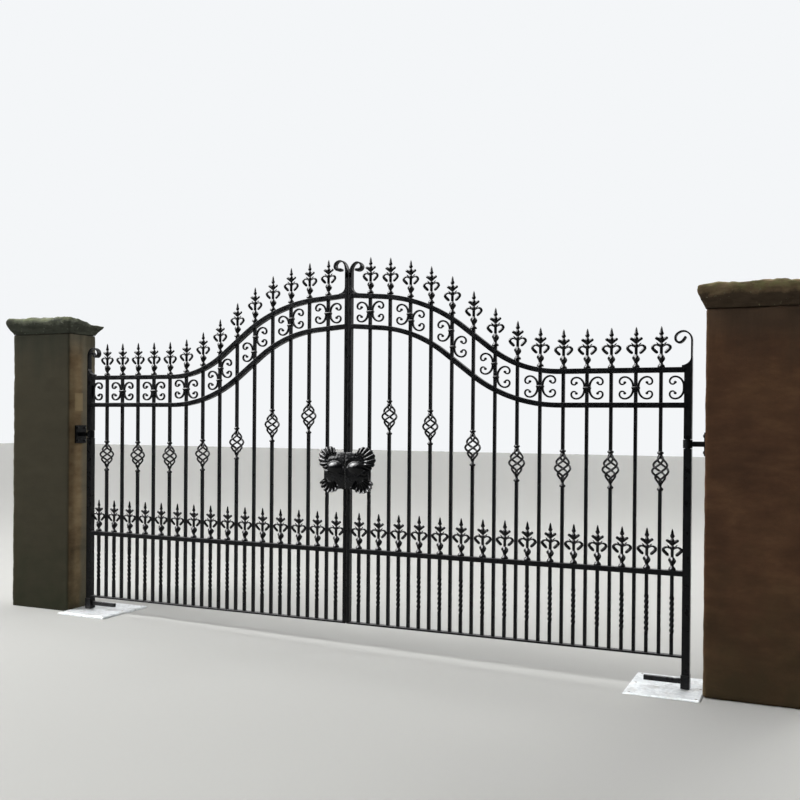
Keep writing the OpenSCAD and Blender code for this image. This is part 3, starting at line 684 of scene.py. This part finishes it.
# Fleur-de-lis finials, one casting on every bar. Stem, bud, neck and cup are turned from (radius, z);
# petal, ear, leaf and spear are (x, z, half width, half depth). Its widths are drawn for a finial 90 mm
# wide and spread to 96.
finial = {
    "spread": 96 / 90, "facets": 18, "cupFacets": 14,
    "lobes": 3, "lobeDepth": 0.27, "budTwist": math.radians(250),
    "stem": [(0, 0), (16, 0), (16.4, 1.5), (16, 6), (14, 10.5), (10, 15), (7.6, 19), (7.2, 22)],
    "bud": [(8, 24), (10.5, 29), (13, 35), (14.6, 41), (15, 46), (14, 51), (11.5, 56), (8.2, 60), (6.2, 63)],
    "neck": [(7, 66), (6.9, 84), (7, 97), (8.6, 101.5), (9.6, 104.5), (9.8, 107), (9, 109.5), (6.6, 112),
             (5.4, 115), (0, 118)],
    "cup": [(0, 112), (4.6, 115), (7, 121), (9.4, 128), (10.2, 135), (9, 141), (6.4, 146), (4.2, 150),
            (0, 152)],
    "petal": [(0, 96, 5.4, 4.8), (6, 99, 4.6, 4.6), (12, 102.4, 4.2, 4.2), (20, 105.6, 4.2, 4),
              (27, 105.4, 5, 4.4), (33, 102.4, 6.2, 5), (37.4, 97.4, 7.2, 5.4), (38, 91.5, 7.8, 5.4),
              (34.6, 86, 8, 5.2), (30, 81, 8, 5), (25.6, 76.6, 8, 4.8), (21.4, 72.6, 7.8, 4.6),
              (18, 69.4, 6.6, 4), (15.8, 67.2, 4.4, 3), (14.8, 66.2, 0, 0)],
    "ear": [(8, 104, 2.4, 3), (14, 109.5, 3.2, 3), (19, 114.5, 3, 2.6), (23.5, 118, 0, 0)],
    "leaf": [(0, 121, 8.6, 5), (6, 126, 8.6, 5.2), (12, 131, 8, 5), (17.5, 134.4, 7.6, 4.8),
             (22.5, 137.2, 7.2, 4.4), (26.2, 139.4, 5.4, 3.6), (28, 140.6, 0, 0)],
    "spear": [(0, 144, 5, 4.4), (0, 150, 6.4, 5), (0, 154, 9.6, 5.6), (0, 158, 11.4, 5.8), (0, 162, 10, 5.6),
              (0, 167, 7.4, 5), (0, 176, 6, 4.4), (0, 184, 4.4, 3.4), (0, 190, 2.4, 2), (0, 193, 0, 0)],
}


def finialMesh():
    count, spread = finial["facets"], finial["spread"]
    stem, neck, cup = [[(r * spread, z) for r, z in finial[part]] for part in ("stem", "neck", "cup")]
    low, high = finial["bud"][0][1], finial["bud"][-1][1]
    bud = []
    for r, z in finial["bud"]:
        share = (z - low) / (high - low)
        lobed = finial["lobeDepth"] * math.sin(math.pi * share)
        reach = [(a, spread * r * (1 + lobed * math.cos(finial["lobes"] * a - finial["budTwist"] * share)))
                 for a in circle(count)]
        bud.append([Vector((out * math.cos(a), out * math.sin(a), z)) * mm for a, out in reach])
    leaves = [bentLeaf([(sign * x * spread, z, wide, thick) for x, z, wide, thick in finial[part]])
              for part in ("petal", "ear", "leaf") for sign in (-1, 1)]
    return skinned(turned(stem, count) + bud + turned(neck, count), turned(cup, finial["cupFacets"]),
                   *leaves, bentLeaf(finial["spear"]))


for side in sides:
    for node, feet in (("picket_finials", [(x, picketTop(x)) for x in picketX]),
                       ("dog_finials", [(x, middleTop) for x in dogX])):
        mesh = setOut([place(side, x, 0, z) for x, z in feet], finialMesh(), castEnamel)
        newPiece(side, node, mesh, *cast)
print("stage: finials cast")

# C-scrolls, in pairs on every other bar. Each half coils up from the bar with a radius that shrinks to
# least and stock that thins, and ends in a rolled tip; two bays nearly as high share one height.
scroll = {
    "radius": 55.96, "tightening": 0.38, "least": 12.5, "turn": math.radians(345), "steps": 44,
    "halfStraight": 6, "levelStep": 20, "thick": 9.4, "thinned": 0.72, "thinning": 0.8, "deep": 14,
    "arris": 1.4, "tip": 6.4, "tipProud": 1, "tipRound": [(2.5, 0), (0.8, 0.7), (0, 2.5)], "tipFacets": 18,
}


def bayZ(k):
    return neckHeight(dogX[k], gate["band"] / 2)


def backsLow(k):
    return k % 2 == 1


def scrollZ(k):
    mate = 0 if k == 0 else k + 1 if backsLow(k) else k - 1
    shared = abs(bayZ(mate) - bayZ(k)) < scroll["levelStep"]
    return (bayZ(mate) + bayZ(k)) / 2 if shared else bayZ(k)


half = []
coilX, coilZ, step = scroll["thick"] / 2, scroll["halfStraight"], scroll["turn"] / scroll["steps"]
for i in range(scroll["steps"] + 1):
    half.append((coilX, coilZ, 1 - (1 - scroll["thinned"]) * (i / scroll["steps"]) ** scroll["thinning"]))
    angle = step * (i + 0.5)
    radius = max(scroll["radius"] * math.exp(-scroll["tightening"] * angle), scroll["least"])
    coilX += radius * math.sin(angle) * step
    coilZ += radius * math.cos(angle) * step
scrollLine = [(x, -z, taper) for x, z, taper in reversed(half)] + half


def tipMesh():
    r, h = scroll["tip"], scroll["deep"] / 2 + scroll["tipProud"]
    lower = [(0, -h)] + [(r - inset, rise - h) for inset, rise in scroll["tipRound"]]
    return skinned(turned(lower + [(out, -z) for out, z in reversed(lower)], scroll["tipFacets"]))


for side in sides:
    paths, tips = [], []
    for k in range(gate["bars"] + 1):
        back, lean = (bayLow[k], 1) if backsLow(k) else (bayHigh[k], -1)
        path = [(back + lean * x, scrollZ(k) + z, 0.0, taper) for x, z, taper in scrollLine]
        paths.append(path)
        tips += [place(side, x, 0, z) for x, z, _, _ in (path[0], path[-1])]
    bm = bmesh.new()
    bm.from_mesh(rollStock(side, paths, scroll["deep"], scroll["thick"], scroll["arris"], 2))
    bm.from_mesh(setOut(tips, tipMesh(), enamel, (math.pi / 2, 0.0, 0.0)))
    mesh = bpy.data.meshes.new("scrolls")
    bm.to_mesh(mesh)
    bm.free()
    newPiece(side, "c_scrolls", mesh, *forged)
print("stage: scrolls bent")

# Collars: convex cast bands round a bar and the scroll backs beside it, one for both scrolls where they
# are level; bulge is (rise, out)
collar = {"deep": 23, "wrap": 0.6, "corner": 3.5, "sharedWithin": 1,
          "bulge": [(-7, -2.4), (-6.2, -0.8), (-4.6, 0.6), (-2.4, 1.5), (0, 1.8), (2.4, 1.5),
                    (4.6, 0.6), (6.2, -0.8), (7, -2.4)]}


def collarRings(side, x, z, low, high):
    halfWide = (gate["bar"] + low + high) / 2 + collar["wrap"]
    middle = x + (high - low) / 2
    return [[place(side, middle + u, v, z + rise)
             for u, v in roundedLoop(halfWide + out, collar["deep"] / 2 + out, collar["corner"] + out, 3)]
            for rise, out in collar["bulge"]]


for side in sides:
    rows = []
    for k in range(1, gate["bars"], 2):
        first, second = scrollZ(k), scrollZ(k + 1)
        shared = abs(first - second) < collar["sharedWithin"]
        bands = [(first, 1, 1)] if shared else [(first, 0, 1), (second, 1, 0)]
        rows += [collarRings(side, picketX[k], z, low * scroll["thick"], high * scroll["thick"])
                 for z, low, high in bands]
    newPiece(side, "collars", skinned(*rows), *cast)
print("stage: collars closed")

# Meeting stiles, square to the top with a quarter-round gusset on the top rail, and the flat-bar curls
# that end all four stiles, as rows of (x, z, thickness). open and rise bend each meeting curl to the
# photograph: it opens out from curlX, and rises from curlFoot over the next riseRun.
stile = {
    "meet": 4, "foot": 150, "over": 120, "gusset": 34, "gussetStep": 10, "ease": 1.6, "curlArris": 1.4,
    "rise": {"left": 9, "right": -4}, "open": {"left": 1.17, "right": 1.06},
    "curlX": 12, "curlFoot": -6, "riseRun": 50,
    "meetingCurl": [(12, -26, 16), (12, -6, 16), (13, 12, 14.5), (18.5, 33, 10), (30, 50, 7.6),
                    (46, 57.5, 7), (61, 53, 8), (70.5, 42, 11), (72, 29, 14), (66, 19, 15.5),
                    (55, 14.5, 15.5), (45, 15, 15)],
    "hingeTop": 1539.5, "hingeOut": 1772,
    "hingeCurl": [(0, 0, 7), (0, 40, 7), (0, 80, 7), (3.5, 97, 7), (13, 111, 7.2), (29, 121, 7.4),
                  (46, 121.5, 7.6), (62, 114, 8), (72, 102, 8.4), (74, 88, 9), (68.5, 76, 9.8),
                  (57, 70, 10.4), (45, 74, 10.8), (35.5, 84, 10.8), (30, 93, 10)],
}
innerX, railTop = gate["stileIn"], -gate["railHeight"] / 2
stileTop = neckHeight(railStart, 0) + railStart * math.tan(swanNeck["crownSlope"]) + stile["over"]
gussetZ, gussetX = neckHeight(innerX, railTop), innerX + stile["gusset"]
quarter = [math.radians(a) for a in range(180, 271, stile["gussetStep"])]
stileOutline = [(stile["meet"], stile["foot"]), (stile["meet"], stileTop), (innerX, stileTop)]
stileOutline += [(gussetX + stile["gusset"] * math.cos(a), gussetZ + stile["gusset"] * (1 + math.sin(a)))
                 for a in quarter]
stileOutline += [(gussetX, neckHeight(gussetX, railTop)), (innerX, gussetZ), (innerX, stile["foot"])]
for side in sides:
    outlines = [[place(side, x, y * gate["depth"], z) for x, z in stileOutline] for y in (-0.5, 0.5)]
    newPiece(side, "meeting_stile", cutPlate(outlines, stile["ease"]), *forged, even=True)
    x0, z0, rise = stile["curlX"], stile["curlFoot"], stile["rise"][side]
    meeting = [(x0 + (x - x0) * stile["open"][side],
                stileTop + z + rise * max(0, min(1, (z - z0) / stile["riseRun"])), thick)
               for x, z, thick in stile["meetingCurl"]]
    hinge = [(stile["hingeOut"] - x, stile["hingeTop"] + z, thick) for x, z, thick in stile["hingeCurl"]]
    for node, rows in (("meeting_stile_curl", meeting), ("hinge_stile_curl", hinge)):
        mesh = bentBar(side, rows, gate["depth"], stile["curlArris"])
        newPiece(side, node, mesh, *forged)
print("stage: stiles and curls bent")

# Forgings that keep the CAD's own shape, with their arrises eased: the photograph shows a slimmer
# hinge ring, shoe and lever than the CAD, and a taller hinge plate and a wider hinge stile, so those
# corners move first. The lever's rows are heights over its base in the CAD and here. A row of easedParts
# is a node, its body and finish, how far its arrises are eased, and what moves its corners.
slim = {
    "ring": 21.5, "ringBore": 20, "ringZone": 75, "plateTaller": 4, "plateFrom": 40,
    "stileIn": -2, "stileOut": 4, "stileFrom": -7, "stileAcross": 23, "journal": 13.5,
    "shoe": 20.5, "shoeZone": 23, "lift": 6, "leverFrom": -17, "leverZone": (10, 56),
    "lever": [(12, 20), (46, 42), (54, 46)], "leverSlack": 0.5,
}


def slimRing(side, x, y, z):
    across = math.hypot(x - gate["axisX"], y)
    if across < slim["ringZone"]:
        share = min(1, slim["ring"] / across) if across > slim["ringBore"] else 1
        return gate["axisX"] + (x - gate["axisX"]) * share, y * share, z
    rise = z - gate["hingeZ"]
    return x, y, z + (math.copysign(slim["plateTaller"], rise) if abs(rise) > slim["plateFrom"] else 0)


def widenStile(side, x, y, z):
    reach = x - gate["hingeIn"]
    if reach < slim["stileFrom"] or math.hypot(x - gate["axisX"], y) < slim["journal"]:
        return x, y, z
    share = max(0, min(1, reach / slim["stileAcross"]))
    return x + slim["stileIn"] + (slim["stileOut"] - slim["stileIn"]) * share, y, z


def slimShoe(side, x, y, z):
    base = gate["ground"][side] + slim["lift"]
    reach = x - gate["axisX"]
    low, high = slim["leverZone"]
    if reach < slim["leverFrom"] and low < z - base < high:
        rows = slim["lever"]
        (a, b), (c, d) = rows[:2] if z - base < rows[1][0] + slim["leverSlack"] else rows[1:]
        z = base + b + (d - b) * (z - base - a) / (c - a)
    if slim["shoe"] < abs(reach) < slim["shoeZone"]:
        x = gate["axisX"] + math.copysign(slim["shoe"], reach)
    return x, y, z


easedParts = [
    ("hinge_stile", "leaf", forged, 1.8, widenStile),
    ("pivot_shoe", "leaf", forged, 1.2, slimShoe),
    ("hinge_bracket", "root", forged, 1.2, slimRing),
    ("floor_box", "root", sheet, 1.5, None),
    ("pivot_pin", "root", bright, 0.5, None),
]
for side in sides:
    for node, body, finish, ease, move in easedParts:
        newPiece(side, node, softened(side, node, ease, move), *finish, body, even=True)
print("stage: forgings eased")

# Coach bolts that hold the hinge plates, and the lid of each floor box with its screws
fixings = {
    "head": [(0, -1), (8.5, -1), (9, 0), (8.8, 1.6), (7.6, 3.6), (5, 5.4), (2.5, 6.2), (0, 6.4)],
    "headFacets": 20, "boltY": 30, "boltZ": 38, "plate": 8,
    "boxX": (340, 3), "boxY": (-181, 219), "lidIn": 9, "lidThick": 2.5, "lidBury": 1, "lidEase": 1.0,
    "screw": [(0, -1), (6.5, -1), (6.5, 0.6), (5, 1.4), (2, 1.8), (0, 1.8)], "screwIn": 16,
}
for side in sides:
    spots = [place(side, gate["pierX"] - fixings["plate"], y, gate["hingeZ"] + z)
             for y in (-fixings["boltY"], fixings["boltY"]) for z in (-fixings["boltZ"], fixings["boltZ"])]
    head = skinned(turned(fixings["head"], fixings["headFacets"]))
    mesh = setOut(spots, head, castEnamel, (0.0, -sides[side] * math.pi / 2, 0.0))
    newPiece(side, "hinge_bolts", mesh, *cast, "root", inCad=False)
    inX, outX = gate["pierX"] - fixings["boxX"][0] + fixings["lidIn"], gate["pierX"] - fixings["boxX"][1]
    lowY, highY = fixings["boxY"][0] + fixings["lidIn"], fixings["boxY"][1] - fixings["lidIn"]
    ground = gate["ground"][side]
    lidTop = ground + fixings["lidThick"]
    outlines = [[place(side, x, y, z) for x, y in ((inX, lowY), (outX, lowY), (outX, highY), (inX, highY))]
                for z in (ground - fixings["lidBury"], lidTop)]
    newPiece(side, "box_lid", cutPlate(outlines, fixings["lidEase"]), *sheet, "root", inCad=False, even=True)
    spots = [place(side, x, y, lidTop) for x in (inX + fixings["screwIn"], outX - fixings["screwIn"])
             for y in (lowY + fixings["screwIn"], (lowY + highY) / 2, highY - fixings["screwIn"])]
    mesh = setOut(spots, skinned(turned(fixings["screw"])), bright[1])
    newPiece(side, "lid_screws", mesh, *bright, "root", inCad=False)
print("stage: bolts and lids fixed")

# Lock cover: two cast scallop fans run into a domed plate, modelled by relief over a ring of spokes.
# Lengths are across the leaf and above the lock's middle; heights stand out toward the street. The
# brow over the boss is a groove and a ridge, each with its run from the boss, its width and its height.
shell = {
    "z": 958, "back": 9.5, "meet": 2.6, "middle": (68, 6), "spokes": 480, "rounds": 64, "crowding": 0.85,
    "search": (10, 190), "halvings": 6, "rim": 2.6, "rimSteepest": 0.98, "rimLeast": 1,
    "plate": 2.2, "cast": 0.5, "castScale": 0.09,
    "crown": 40, "domeX": 16, "domeReach": 150, "domeFall": 25, "domeBend": 2.2,
    "body": [(2.6, -86), (2.6, 108), (74, 112), (128, 60), (131, 10), (134, -45), (122, -96), (62, -104)],
    "notches": [((47, 132), 27), ((33, -123), 37)],
    "fans": [{"apex": (60, 52), "disc": (103, 72), "radius": 67, "first": 82, "last": -22, "ribs": 8,
              "starts": (0.42, 0.62), "level": (31, 27, 18), "ribHigh": 11},
             {"apex": (80, -20), "disc": (98, -52), "radius": 58, "first": -28, "last": -118, "ribs": 7,
              "starts": (0.3, 0.5), "level": (25, 18, 29), "ribHigh": 12}],
    "halfRib": 0.48, "ribEnds": (-0.75, -0.4), "ribSunk": 0.75, "scallop": 7,
    "boss": (62, 26), "bossRadius": 40, "bossOut": 13, "stretch": 1.4, "bossMelt": 3,
    "groove": (36, 5.0, 3.2), "ridge": (50, 10, 0.8), "browFade": 12,
    "knob": (111, 0), "knobRadius": 13, "knobOut": 4,
    "bead": {"x": (68, 128), "z": -24, "wide": 6, "out": 0.6, "arch": 0.004, "ends": (14, 10)},
}


# Where a point lies in a fan: rib share, place across the rib from -1 to 1, run from the apex and the
# reach of the fan there
def fanPlace(fan, x, z):
    dx, dz = x - fan["apex"][0], z - fan["apex"][1]
    angle = math.atan2(dz, dx)
    step = math.radians(fan["first"] - fan["last"]) / (fan["ribs"] - 1)
    share = (math.radians(fan["first"]) - angle) / step
    nearest = min(max(round(share), 0), fan["ribs"] - 1)
    ax, az = fan["disc"][0] - fan["apex"][0], fan["disc"][1] - fan["apex"][1]
    along = ax * math.cos(angle) + az * math.sin(angle)
    reach = along + math.sqrt(max(fan["radius"] ** 2 - ax ** 2 - az ** 2 + along ** 2, 0))
    return share, 2 * (share - nearest), math.hypot(dx, dz), reach


def inShell(x, z):
    if x < shell["meet"] or any(math.hypot(x - c[0], z - c[1]) < r for c, r in shell["notches"]):
        return False
    for fan in shell["fans"]:
        share, across, run, reach = fanPlace(fan, x, z)
        inRibs = -shell["halfRib"] < share < fan["ribs"] - 1 + shell["halfRib"]
        if inRibs and run < reach - shell["scallop"] * across ** 2:
            return True
    crossings = 0
    for (x0, z0), (x1, z1) in zip(shell["body"], shell["body"][1:] + shell["body"][:1]):
        if (z0 > z) != (z1 > z) and x < x0 + (x1 - x0) * (z - z0) / (z1 - z0):
            crossings += 1
    return crossings % 2 == 1


# The outline's distance from the middle: the farthest whole millimetre inside, then halvings
def shellEdge(angle):
    def inside(r):
        return inShell(shell["middle"][0] + r * math.cos(angle), shell["middle"][1] + r * math.sin(angle))

    low = float(max((r for r in range(*shell["search"]) if inside(r)), default=shell["search"][0]))
    high = low + 1
    for _ in range(shell["halvings"]):
        test = (low + high) / 2
        low, high = (test, high) if inside(test) else (low, test)
    return low


def swell(distance, width):
    return math.exp(-(distance / width) ** 2)


def rampUp(value, low, high):
    t = max(0.0, min(1.0, (value - low) / (high - low)))
    return t * t * (3 - 2 * t)


def shellHeight(x, z):
    dome = (math.hypot(x - shell["domeX"], z) / shell["domeReach"]) ** shell["domeBend"]
    height = shell["crown"] - shell["domeFall"] * dome
    bossX, bossZ = shell["boss"]
    bossRun = math.hypot((x - bossX) / shell["stretch"], z - bossZ)
    above = rampUp(z - bossZ, -shell["browFade"], shell["browFade"])
    for key, sign in (("ridge", 1), ("groove", -1)):
        run, wide, high = shell[key]
        height += sign * above * high * swell(bossRun - run, wide)
    knobRun = math.hypot(x - shell["knob"][0], z - shell["knob"][1])
    height += shell["knobOut"] * math.sqrt(max(0.0, 1 - (knobRun / shell["knobRadius"]) ** 2))
    bead = shell["bead"]
    x0, x1 = bead["x"]
    beadAway = z - bead["z"] - bead["arch"] * (x - x0) * (x1 - x)
    beadShare = rampUp(x, x0, x0 + bead["ends"][0]) * rampUp(x1 - x, 0, bead["ends"][1])
    height += beadShare * bead["out"] * swell(beadAway, bead["wide"])
    if bossRun < shell["bossRadius"]:
        boss = (shell["crown"] + shell["bossOut"] - shell["bossRadius"]
                + math.sqrt(shell["bossRadius"] ** 2 - bossRun ** 2))
        height = (height + boss + math.sqrt((height - boss) ** 2 + shell["bossMelt"])) / 2
    for fan in shell["fans"]:
        share, across, run, reach = fanPlace(fan, x, z)
        within = rampUp(share, *shell["ribEnds"]) * rampUp(fan["ribs"] - 1 - share, *shell["ribEnds"])
        begun = within * rampUp(run / reach, *fan["starts"]) if within else 0
        if begun:
            inner, mid, rim = fan["level"]
            t = 2 * run / reach - 1
            level = inner * (1 - t) * (1 - 2 * t) + mid * 4 * t * (1 - t) + rim * t * (2 * t - 1)
            rib = fan["ribHigh"] * (math.sqrt(max(0.0, 1 - across ** 2)) - shell["ribSunk"])
            height += begun * (level + rib - height)
    rough = shell["cast"] * noise.noise(Vector((x, z, 0)) * shell["castScale"])
    return max(height, shell["back"] + shell["plate"]) + rough


def shellMesh(side):
    mx, mz = shell["middle"]
    spokes = [(math.cos(a), math.sin(a), shellEdge(a)) for a in circle(shell["spokes"])]
    rings = [[place(side, mx, -shellHeight(mx, mz), shell["z"] + mz)]]
    for n in range(1, shell["rounds"] + 1):
        ring = []
        for cosine, sine, edge in spokes:
            r = edge * (n / shell["rounds"]) ** shell["crowding"]
            x, z = mx + r * cosine, mz + r * sine
            inRim = max(0.0, 1 - (edge - r) / shell["rim"])
            drop = shell["rim"] * (1 - math.sqrt(1 - min(inRim, shell["rimSteepest"]) ** 2))
            height = max(shellHeight(x, z) - drop, shell["back"] + shell["rimLeast"])
            ring.append(place(side, x, -height, shell["z"] + z))
        rings.append(ring)
    rings.append([place(side, mx + edge * cosine, -shell["back"], shell["z"] + mz + edge * sine)
                  for cosine, sine, edge in spokes])
    rings.append([place(side, mx, -shell["back"], shell["z"] + mz)])
    return skinned(rings)


for side in sides:
    newPiece(side, "lock_shell", shellMesh(side), *cast, even=True)
print("stage: lock cover cast")

# Piers: one dressed stone each, with worn and chipped arrises. The scales are noise steps per millimetre,
# and points nearer than near count as one.
stone = {"width": 450, "depth": 230, "front": 96, "top": 1753, "cell": 14, "arris": 9, "near": 0.01,
         "wear": 2.2, "wearIn": 1.1, "wearScale": 0.011, "chips": 6, "chipScale": 0.03, "chipLeast": 0.15}


def dressedBlock(low, high):
    bm = bmesh.new()
    counts = [max(2, round((b - a) / stone["cell"])) for a, b in zip(low, high)]
    for axis in range(3):
        u, v = [n for n in range(3) if n != axis]
        for fixed in (low[axis], high[axis]):
            grid = []
            for i in range(counts[u] + 1):
                row = []
                for j in range(counts[v] + 1):
                    p = [fixed] * 3
                    p[u] = low[u] + (high[u] - low[u]) * i / counts[u]
                    p[v] = low[v] + (high[v] - low[v]) * j / counts[v]
                    row.append(bm.verts.new(p))
                grid.append(row)
            for a, b in zip(grid, grid[1:]):
                for j in range(counts[v]):
                    bm.faces.new((a[j], b[j], b[j + 1], a[j + 1]))
    bmesh.ops.remove_doubles(bm, verts=bm.verts, dist=stone["near"])
    inner = [(a + stone["arris"], b - stone["arris"]) for a, b in zip(low, high)]
    for vert in bm.verts:
        core = Vector([min(max(c, a), b) for c, (a, b) in zip(vert.co, inner)])
        out = vert.co - core
        onEdge = sum(abs(c) > stone["near"] for c in out) > 1
        if out.length > stone["near"]:
            out.normalize()
            vert.co = core + out * stone["arris"]
        wave = noise.fractal(vert.co * stone["wearScale"], 0.9, 2.0, 4)
        chip = max(0.0, noise.noise(vert.co * stone["chipScale"]) - stone["chipLeast"]) if onEdge else 0.0
        vert.co += out * (wave * stone["wear"] - stone["wearIn"] - chip * stone["chips"])
    for vert in bm.verts:
        vert.co *= mm
    return meshOf(bm)


for side in sides:
    ends = sorted(gate["centreX"] + sides[side] * (gate["pierX"] + x) for x in (0, stone["width"]))
    front = gate["planeY"] - stone["front"]
    mesh = dressedBlock((ends[0], front, 0), (ends[1], front + stone["depth"], stone["top"]))
    newPiece(side, "pier", mesh, "dressed_sandstone", pierStone[side], "root")
print("stage: piers dressed")

# Caps: undercut to a lip near the top and rough above it. The section is (overhang, z); tall squashes
# a cap, slope wears it down toward the drive and the house, and sag hollows it. Nothing stands more than
# proud above the section, and nearer than calm to the cap's middle line the sides' roughness dies away.
cap = {
    "thick": 120, "corner": 16, "cornerShare": 0.6, "cornerSteps": 5, "perSide": 34,
    "lumps": 8.0, "lumpsOut": 0.6, "pitted": 2.6, "pitsUp": 0.5, "settled": 2, "ragged": 1.125,
    "sag": 26, "sagMore": 0.1,
    "tall": {"left": 0.87, "right": 1.0}, "slope": {"left": 34, "right": 6}, "proud": 5, "calm": 60,
    "seed": {"left": (-700, 0, 90), "right": (700, 0, 90)},
    "scales": {"lump": 0.02, "pit": 0.09, "ragged": 0.03, "sag": 0.009},
    "section": [(4, 0), (4.8, 2), (8, 10), (12, 18), (17, 27), (22, 37), (27, 48), (32, 60), (36, 71),
                (38, 81), (37.5, 90), (35.5, 97), (31, 103), (24, 108), (10, 112), (-10, 115),
                (-35, 117), (-60, 118.5), (-85, 119.5), (-115, 120)],
}


def capLoop(halfWide, halfDeep):
    corner = min(cap["corner"], halfDeep * cap["cornerShare"])
    outline = [Vector(p) for p in roundedLoop(halfWide, halfDeep, corner, cap["cornerSteps"])]
    filled = []
    for n, (a, b) in enumerate(zip(outline, outline[1:] + outline[:1]), 1):
        count = 1 if n % (cap["cornerSteps"] + 1) else cap["perSide"]
        filled += [a.lerp(b, i / count) for i in range(count)]
    return filled


def capMesh(side):
    centreX = gate["centreX"] + sides[side] * (gate["pierX"] + stone["width"] / 2)
    centreY = gate["planeY"] - stone["front"] + stone["depth"] / 2
    seed = Vector(cap["seed"][side])
    scales = cap["scales"]
    rings = []
    for inset, z in cap["section"]:
        halfWide, halfDeep = stone["width"] / 2 + inset, max(0.001, stone["depth"] / 2 + inset)
        high = z / cap["thick"]
        ring = []
        for p in capLoop(halfWide, halfDeep):
            spot = Vector((p.x, p.y, z))
            seeded = spot + seed
            lump = noise.fractal(seeded * scales["lump"], 0.8, 2.0, 5) * cap["lumps"] * high
            pit = noise.noise(seeded * scales["pit"]) * cap["pitted"]
            torn = 1 + noise.noise(seeded * scales["ragged"]) * cap["ragged"] * high ** 2
            away = Vector((p.x / halfWide, p.y / halfDeep, 0)).normalized()
            away *= (lump * cap["lumpsOut"] + pit - cap["settled"]) * torn * min(1, halfDeep / cap["calm"])
            worn = max(0, noise.noise(seeded * scales["sag"]) + cap["sagMore"]) * cap["sag"]
            gone = max(0, p.y / stone["depth"] - sides[side] * p.x / stone["width"]) * cap["slope"][side]
            rise = (lump + pit * cap["pitsUp"] - worn - gone) * high * high
            spot.z = z * cap["tall"][side]
            foot = Vector((centreX, centreY, stone["top"] + min(rise, cap["proud"])))
            ring.append((spot + away + foot) * mm)
        rings.append(ring)
    bm = bmesh.new()
    skin(bm, rings, capped=False)
    bm.verts.ensure_lookup_table()
    bm.faces.new(bm.verts[:len(rings[0])])
    return meshOf(bm)


for side in sides:
    newPiece(side, "pier_cap", capMesh(side), "weathered_capstone", capStone[side], "root")
print("stage: caps set")

# Floor: a plain pale drive that falls from the left box's lid to the right one's, as (x, z) in metres
floor = {"colour": "#a8a8a5", "deep": (-7, 30),
         "fall": [(-30, 0.068), (0.2, 0.068), (0.75, 0.06392), (3.4, 0.002), (4.0, -0.001), (30, -0.001)]}
floorMesh = bpy.data.meshes.new("drive")
floorMesh.from_pydata([(x, y, z) for x, z in floor["fall"] for y in floor["deep"]], [],
                      [(2 * i, 2 * i + 2, 2 * i + 3, 2 * i + 1) for i in range(len(floor["fall"]) - 1)])
floorObject = bpy.data.objects.new("paleFloor", floorMesh)
scene.collection.objects.link(floorObject)
material, tree, where = startMaterial("plainPaleFloor")
finishMaterial(tree, floor["colour"], [], [], {"Roughness": 0.9})
floorMesh.materials.append(material)

# Light: a pale sky behind and over the gate that falls off toward the street, a bright patch of sky
# that only gloss mirrors, and two soft lamps as (name, position, target, wide, tall, power)
light = {
    "seen": "#f4f6f8", "sky": ((0.0, 0.1), (0.3, 0.24), (0.7, 1.0)), "houseSide": 0.7,
    "glow": (-0.645, -0.316, 0.697), "glowAngles": (38, 14), "glowStrength": 33,
    "lamps": [("softKey", (-2.9, -2.4, 6.2), (2.0, 0.0, 0.9), 3.2, 1.4, 420),
              ("softBack", (5.5, 5.0, 6.0), (2.0, 0.0, 0.8), 2.5, 2.5, 240)],
}
world = bpy.data.worlds.new("paleSky")
world.use_nodes = True
scene.world = world
tree = world.node_tree
tree.nodes.clear()
ray = addNode(tree, "ShaderNodeLightPath").outputs
ahead = addNode(tree, "ShaderNodeTexCoord", "Generated")
toward = addNode(tree, "ShaderNodeSeparateXYZ", inputs={"Vector": ahead}).outputs
openness = addNode(tree, "ShaderNodeMath", "Value", {0: toward["Y"], 1: light["houseSide"], 2: toward["Z"]},
                   operation="MULTIPLY_ADD")
shades = addNode(tree, "ShaderNodeValToRGB", "Color", {"Fac": openness}, light["sky"])
near = addNode(tree, "ShaderNodeVectorMath", "Value", {0: ahead, 1: light["glow"]}, operation="DOT_PRODUCT")
wide, tight = [math.cos(math.radians(a)) for a in light["glowAngles"]]
glow = addNode(tree, "ShaderNodeMapRange", "Result", {
    "Value": near, "From Min": wide, "From Max": tight, "To Max": light["glowStrength"]},
    interpolation_type="SMOOTHSTEP")
mirrored = addNode(tree, "ShaderNodeMath", "Value", {0: ray["Is Glossy Ray"], 1: glow}, operation="MULTIPLY")
sky, bloom, seen = [addNode(tree, "ShaderNodeBackground", "Background", inputs) for inputs in (
    {"Color": shades}, {"Strength": mirrored}, {"Color": light["seen"]})]
lit = addNode(tree, "ShaderNodeAddShader", "Shader", {0: sky, 1: bloom})
both = addNode(tree, "ShaderNodeMixShader", "Shader", {0: ray["Is Camera Ray"], 1: lit, 2: seen})
addNode(tree, "ShaderNodeOutputWorld", inputs={"Surface": both})
for name, position, target, wide, tall, power in light["lamps"]:
    lamp = bpy.data.objects.new(name, bpy.data.lights.new(name, "AREA"))
    lamp.data.shape = "RECTANGLE"
    lamp.data.size = wide
    lamp.data.size_y = tall
    lamp.data.energy = power
    lamp.location = position
    lamp.rotation_euler = (Vector(target) - Vector(position)).to_track_quat("-Z", "Y").to_euler()
    scene.collection.objects.link(lamp)
scene.view_settings.view_transform = "Standard"
print("stage: light set")
